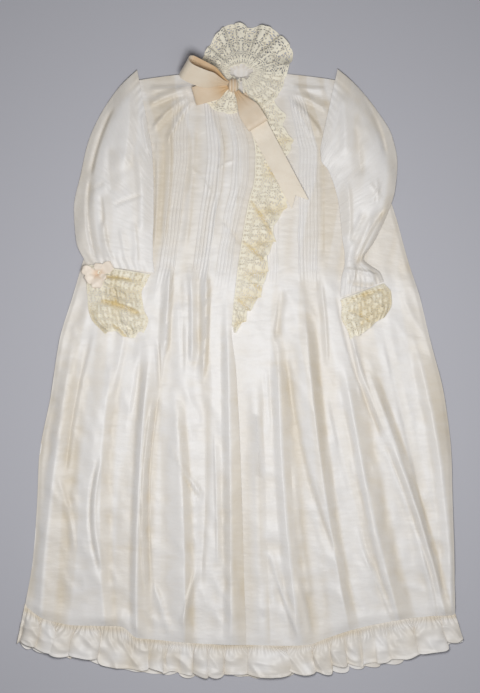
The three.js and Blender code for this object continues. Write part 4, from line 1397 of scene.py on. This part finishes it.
def loop_path(reach, opening, root, count):
    """Side view of a ribbon loop: out from the knot, round its end and back."""
    bend = 0.8 * reach
    wall = 0.5
    inner = opening - wall

    def curve(points, t):
        a, b, c, d = (np.array(p, float)[None, :] for p in points)
        t = t[:, None]
        return (1 - t) ** 3 * a + 3 * t * (1 - t) ** 2 * b + 3 * t * t * (1 - t) * c + t**3 * d

    t = np.linspace(0, 1, count)
    out = mix(np.array([[0.0, wall]]), np.array([[bend, wall]]), t[:, None])
    end = curve([(bend, wall), (reach - wall, wall), (reach - wall, inner), (bend, inner)], t[1:])
    home = [(bend, inner), (0.5 * reach, inner), (0.25 * reach, 0.6 * opening), (0, root - wall)]
    return np.concatenate([out, end, curve(home, t[1:])])


def placed(points, turns, shift):
    """Points turned by each (axis, degrees) in order, then moved."""
    p = np.stack([c.ravel() for c in points], -1)
    for axis, degrees in turns:
        p = p @ np.array(Matrix.Rotation(math.radians(degrees), 3, axis)).T
    p = p + np.array(shift)
    return tuple(p[:, k].reshape(points[0].shape) for k in range(3))


def node_heights(name, x, y):
    """Top of a CAD node near each point, in millimetres."""
    co = np.array([v.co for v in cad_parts[name].data.vertices]) / MM

    def top(a, b):
        nearest = np.argsort(np.hypot(co[:, 0] - a, co[:, 1] - b))[:8]
        return co[nearest, 2].max()

    return np.array([top(a, b) for a, b in zip(x, y)])


class GOWN_OT_bow(bpy.types.Operator):
    """Ribbon bow at the neck: knot, three loops and a long notched tail"""

    bl_idname = "gown.bow"
    bl_label = "Bow"

    def execute(self, context):
        sizes, colours = context.scene.gown_sizes, context.scene.gown_colours
        ribbon = ribbed_ribbon(colours)
        for name, *settings in zip(BOW_LOOP_NAMES, *BOW_LOOPS.values()):
            self.loop(name, settings, sizes, ribbon)
        self.tail(sizes, ribbon)
        self.knot(sizes, ribbon)
        return {"FINISHED"}

    def loop(self, name, settings, sizes, ribbon):
        """One loop, drawn together at the knot and turned to its place round it."""
        turn, reach, opening, width, gathered, tilt, pitch, toned = settings
        low, high = (np.array(c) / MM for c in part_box("bow_knot"))
        path = loop_path(reach, opening, LOOP_ROOT, LOOP_ROWS)
        widths = width / 2 * mix(0.25, 1, ease(path[:, 0], 0, gathered * reach))
        x, y, z = ribbon_strip(path, widths, LOOP_COLUMNS)
        side = np.linspace(-1, 1, LOOP_COLUMNS)[None, :]
        gather = 1 - ease(x, 0, 0.55 * reach)
        z = z + 0.35 * gather * np.cos(3 * np.pi * side) + 0.3 * noise(x, y, 9, SEEDS["bow_loops"])
        way_x, way_y = math.cos(math.radians(turn)), math.sin(math.radians(turn))
        clear = math.hypot(KNOT["half"][0] * way_x, KNOT["half"][1] * way_y) + SEAM_GAP
        lift = (low[2] + high[2]) / 2 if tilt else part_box(name)[0][2] / MM
        start = (KNOT["x"] + clear * way_x, KNOT["y"] + clear * way_y, lift)
        points = placed((x, y, z), (("X", tilt), ("Y", -pitch), ("Z", turn)), start)
        run = np.concatenate([[0], np.cumsum(np.hypot(*np.diff(path, axis=0).T))])
        # Tone: painted shade where the ribbon is drawn together at the knot and on the inner strand of a
        # standing loop, with an even tone for each loop from its table
        inside = 1 - ease(np.arange(len(path)) / len(path), 0.3, 0.45)[:, None] if tilt else 0
        tone = 0.5 * gather + toned + 0.6 * inside
        piece = cloth(name, points, sizes.ribbon, ribbon, (run[:, None], side * width / 2), tone)
        finish_piece(piece, name)

    def tail(self, sizes, ribbon):
        """Long tail over the jabot, with a notched end."""
        share = np.linspace(0, 1, TAIL_ROWS)
        (x0, y0), (x1, y1) = TAIL["start"], TAIL["end"]
        reach = math.hypot(x1 - x0, y1 - y0)
        way = ((x1 - x0) / reach, (y1 - y0) / reach)
        side = np.linspace(-1, 1, TAIL_COLUMNS)[None, :]
        middle_x, middle_y = mix(x0, x1, share), mix(y0, y1, share)
        stations = np.linspace(0, 1, TAIL_STATIONS)
        heights = node_heights("bow_tail", mix(x0, x1, stations), mix(y0, y1, stations))
        level = np.interp(share, stations, heights)
        for _ in range(6):
            level = np.convolve(np.pad(level, 1, mode="edge"), [0.25, 0.5, 0.25], "valid")
        half = TAIL["spread"] * RIBBON_WIDTH / 2 * mix(0.5, 1, ease(share * 10, 0, 3))[:, None]
        back = TAIL["notch"] * (1 - np.abs(side)) * ease(share, 0.75, 1)[:, None]
        x = middle_x[:, None] - way[1] * half * side - way[0] * back
        y = middle_y[:, None] + way[0] * half * side - way[1] * back
        gather = (1 - ease(share, 0, 0.35))[:, None]
        z = level[:, None] + 0.2 + 0.5 * np.cos(2 * np.pi * side) * gather
        z = z + 0.5 * noise(x, y, 18, SEEDS["bow_tail"])
        uv = share[:, None] * reach, side * RIBBON_WIDTH / 2
        # Tone: painted shade in the gathers near the knot
        piece = cloth("bow_tail", (x, y, z), sizes.ribbon, ribbon, uv, 0.45 * gather)
        finish_piece(piece, "bow_tail")

    def knot(self, sizes, ribbon):
        """Knot: the ribbon wrapped round the roots of the loops, in folds that run round it."""
        low, high = (np.array(c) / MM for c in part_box("bow_knot"))
        half, centre = (high - low) / 2, (high + low) / 2
        turn = np.linspace(0, 2 * np.pi, KNOT_COLUMNS)[None, :]
        across = np.linspace(-0.97, 0.97, KNOT_ROWS)[:, None]
        full = (1 - across**2) ** 0.3 * (1 + 0.09 * np.cos(9 * across + 0.6 * np.sin(turn)))
        x = centre[0] + half[0] * across + 0.4 * np.sin(turn)
        y = centre[1] + half[1] * full * np.cos(turn)
        z = centre[2] + half[2] * full * np.sin(turn)
        # Tone: a warm ground with painted shade in the folds that run round the knot
        uv, tone = (turn * 6, across * 12), 0.45 - 0.25 * np.cos(9 * across)
        piece = cloth("bow_knot", (x, y, z), sizes.ribbon, ribbon, uv, tone, tube=True)
        finish_piece(piece, "bow_knot")


class GOWN_OT_rosette(bpy.types.Operator):
    """Small rosette of ribbon loops at the right wrist"""

    bl_idname = "gown.rosette"
    bl_label = "Rosette"

    def execute(self, context):
        sizes, colours = context.scene.gown_sizes, context.scene.gown_colours
        ribbon = rosette_ribbon(colours)
        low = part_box("cuff_rosette")[0][2] / MM
        petals = []
        for k, (turn, reach, width, height) in enumerate(zip(*ROSETTE_LOOPS.values())):
            path = loop_path(reach, height, ROSETTE["root"], PETAL_ROWS)
            widths = width / 2 * mix(0.3, 1, ease(path[:, 0], 0, 0.6 * reach))
            widths = widths * (1 - 0.4 * ease(path[:, 0], 0.7 * reach, reach))
            x, y, z = ribbon_strip(path, widths, PETAL_COLUMNS)
            z = z + noise(x, y + 9 * k, 5, SEEDS["cuff_rosette"]) * ease(x, 0.2 * reach, 0.6 * reach)
            points = placed((x, y, z), (("Z", turn),), (ROSETTE["x"], ROSETTE["y"], low + 0.3 * (k % 3)))
            # Tone: painted shade towards each loop's root at the rosette's centre
            tone = 0.8 * (1 - ease(x, 0, 0.5 * reach))
            uv = np.linspace(0, 2 * reach, len(path))[:, None], y
            petals.append(cloth(f"petal_{k}", points, 0.5 * sizes.ribbon, ribbon, uv, tone))
        bpy.ops.object.select_all(action="DESELECT")
        for petal in petals:
            petal.select_set(True)
        bpy.context.view_layer.objects.active = petals[0]
        bpy.ops.object.join()
        piece = bpy.context.object
        piece.name = "gown_cuff_rosette"
        finish_piece(piece, "cuff_rosette")
        return {"FINISHED"}


class GOWN_OT_stage(bpy.types.Operator):
    """Plain floor, soft light and a camera straight above"""

    bl_idname = "gown.stage"
    bl_label = "Stage"

    def execute(self, context):
        scene = context.scene
        bpy.ops.object.select_all(action="DESELECT")
        bpy.ops.mesh.primitive_plane_add(size=FLOOR_SIZE)
        floor = bpy.context.object
        floor.name = "floor"
        # Matt paper: a plain pale ground without shine, which takes a soft shadow
        paper = bpy.data.materials.new("matt paper")
        paper.use_nodes = True
        shader = paper.node_tree.nodes["Principled BSDF"]
        shader.inputs["Base Color"].default_value = (*scene.gown_colours.floor, 1)
        shader.inputs["Roughness"].default_value = 0.9
        floor.data.materials.append(paper)
        for name, place, size, power in LIGHTS:
            bpy.ops.object.light_add(type="AREA", location=place)
            lamp = bpy.context.object
            lamp.name = name
            lamp.data.shape = "DISK"
            lamp.data.size = size
            lamp.data.energy = power
            lamp.visible_camera = False
            aim = -lamp.location
            lamp.rotation_euler = aim.to_track_quat("-Z", "Y").to_euler()
        world = bpy.data.worlds.new("soft room")
        scene.world = world
        world.use_nodes = True
        background = world.node_tree.nodes["Background"]
        background.inputs["Color"].default_value = (*linear(ROOM_COLOUR), 1)
        background.inputs["Strength"].default_value = ROOM_LIGHT
        bpy.ops.object.camera_add(location=(0, CAMERA_SHIFT, CAMERA_HEIGHT), rotation=(0, 0, 0))
        camera = bpy.context.object
        camera.data.sensor_width = CAMERA_SENSOR
        camera.data.lens = CAMERA_SENSOR * CAMERA_HEIGHT / SHOWN_LENGTH
        camera.data.dof.use_dof = False
        scene.camera = camera
        scene.view_settings.view_transform = "Standard"
        return {"FINISHED"}


class GOWN_PT_panel(bpy.types.Panel):
    """Sizes, colours and pieces of the gown"""

    bl_idname = "GOWN_PT_panel"
    bl_label = "Christening gown"
    bl_space_type = "VIEW_3D"
    bl_region_type = "UI"
    bl_category = "Gown"

    def draw(self, context):
        for group in (context.scene.gown_sizes, context.scene.gown_colours):
            for name in group.__annotations__:
                self.layout.prop(group, name)
        for operator in OPERATORS:
            self.layout.operator(operator.bl_idname)


OPERATORS = (
    GOWN_OT_body,
    GOWN_OT_sleeves,
    GOWN_OT_hem,
    GOWN_OT_neck,
    GOWN_OT_lace,
    GOWN_OT_bow,
    GOWN_OT_rosette,
    GOWN_OT_stage,
)
CLASSES = (GownSizes, GownColours, *OPERATORS, GOWN_PT_panel)


def register():
    """Adds the properties, operators and panel to Blender."""
    for made in CLASSES:
        bpy.utils.register_class(made)
    bpy.types.Scene.gown_sizes = PointerProperty(type=GownSizes)
    bpy.types.Scene.gown_colours = PointerProperty(type=GownColours)


def unregister():
    """Takes them out again."""
    del bpy.types.Scene.gown_colours
    del bpy.types.Scene.gown_sizes
    for made in reversed(CLASSES):
        bpy.utils.unregister_class(made)


def main():
    """Builds the gown and its stage."""
    register()
    bpy.ops.gown.body()
    bpy.ops.gown.sleeves()
    bpy.ops.gown.hem()
    bpy.ops.gown.neck()
    bpy.ops.gown.lace()
    bpy.ops.gown.bow()
    bpy.ops.gown.rosette()
    bpy.ops.gown.stage()


if __name__ == "__main__":
    main()
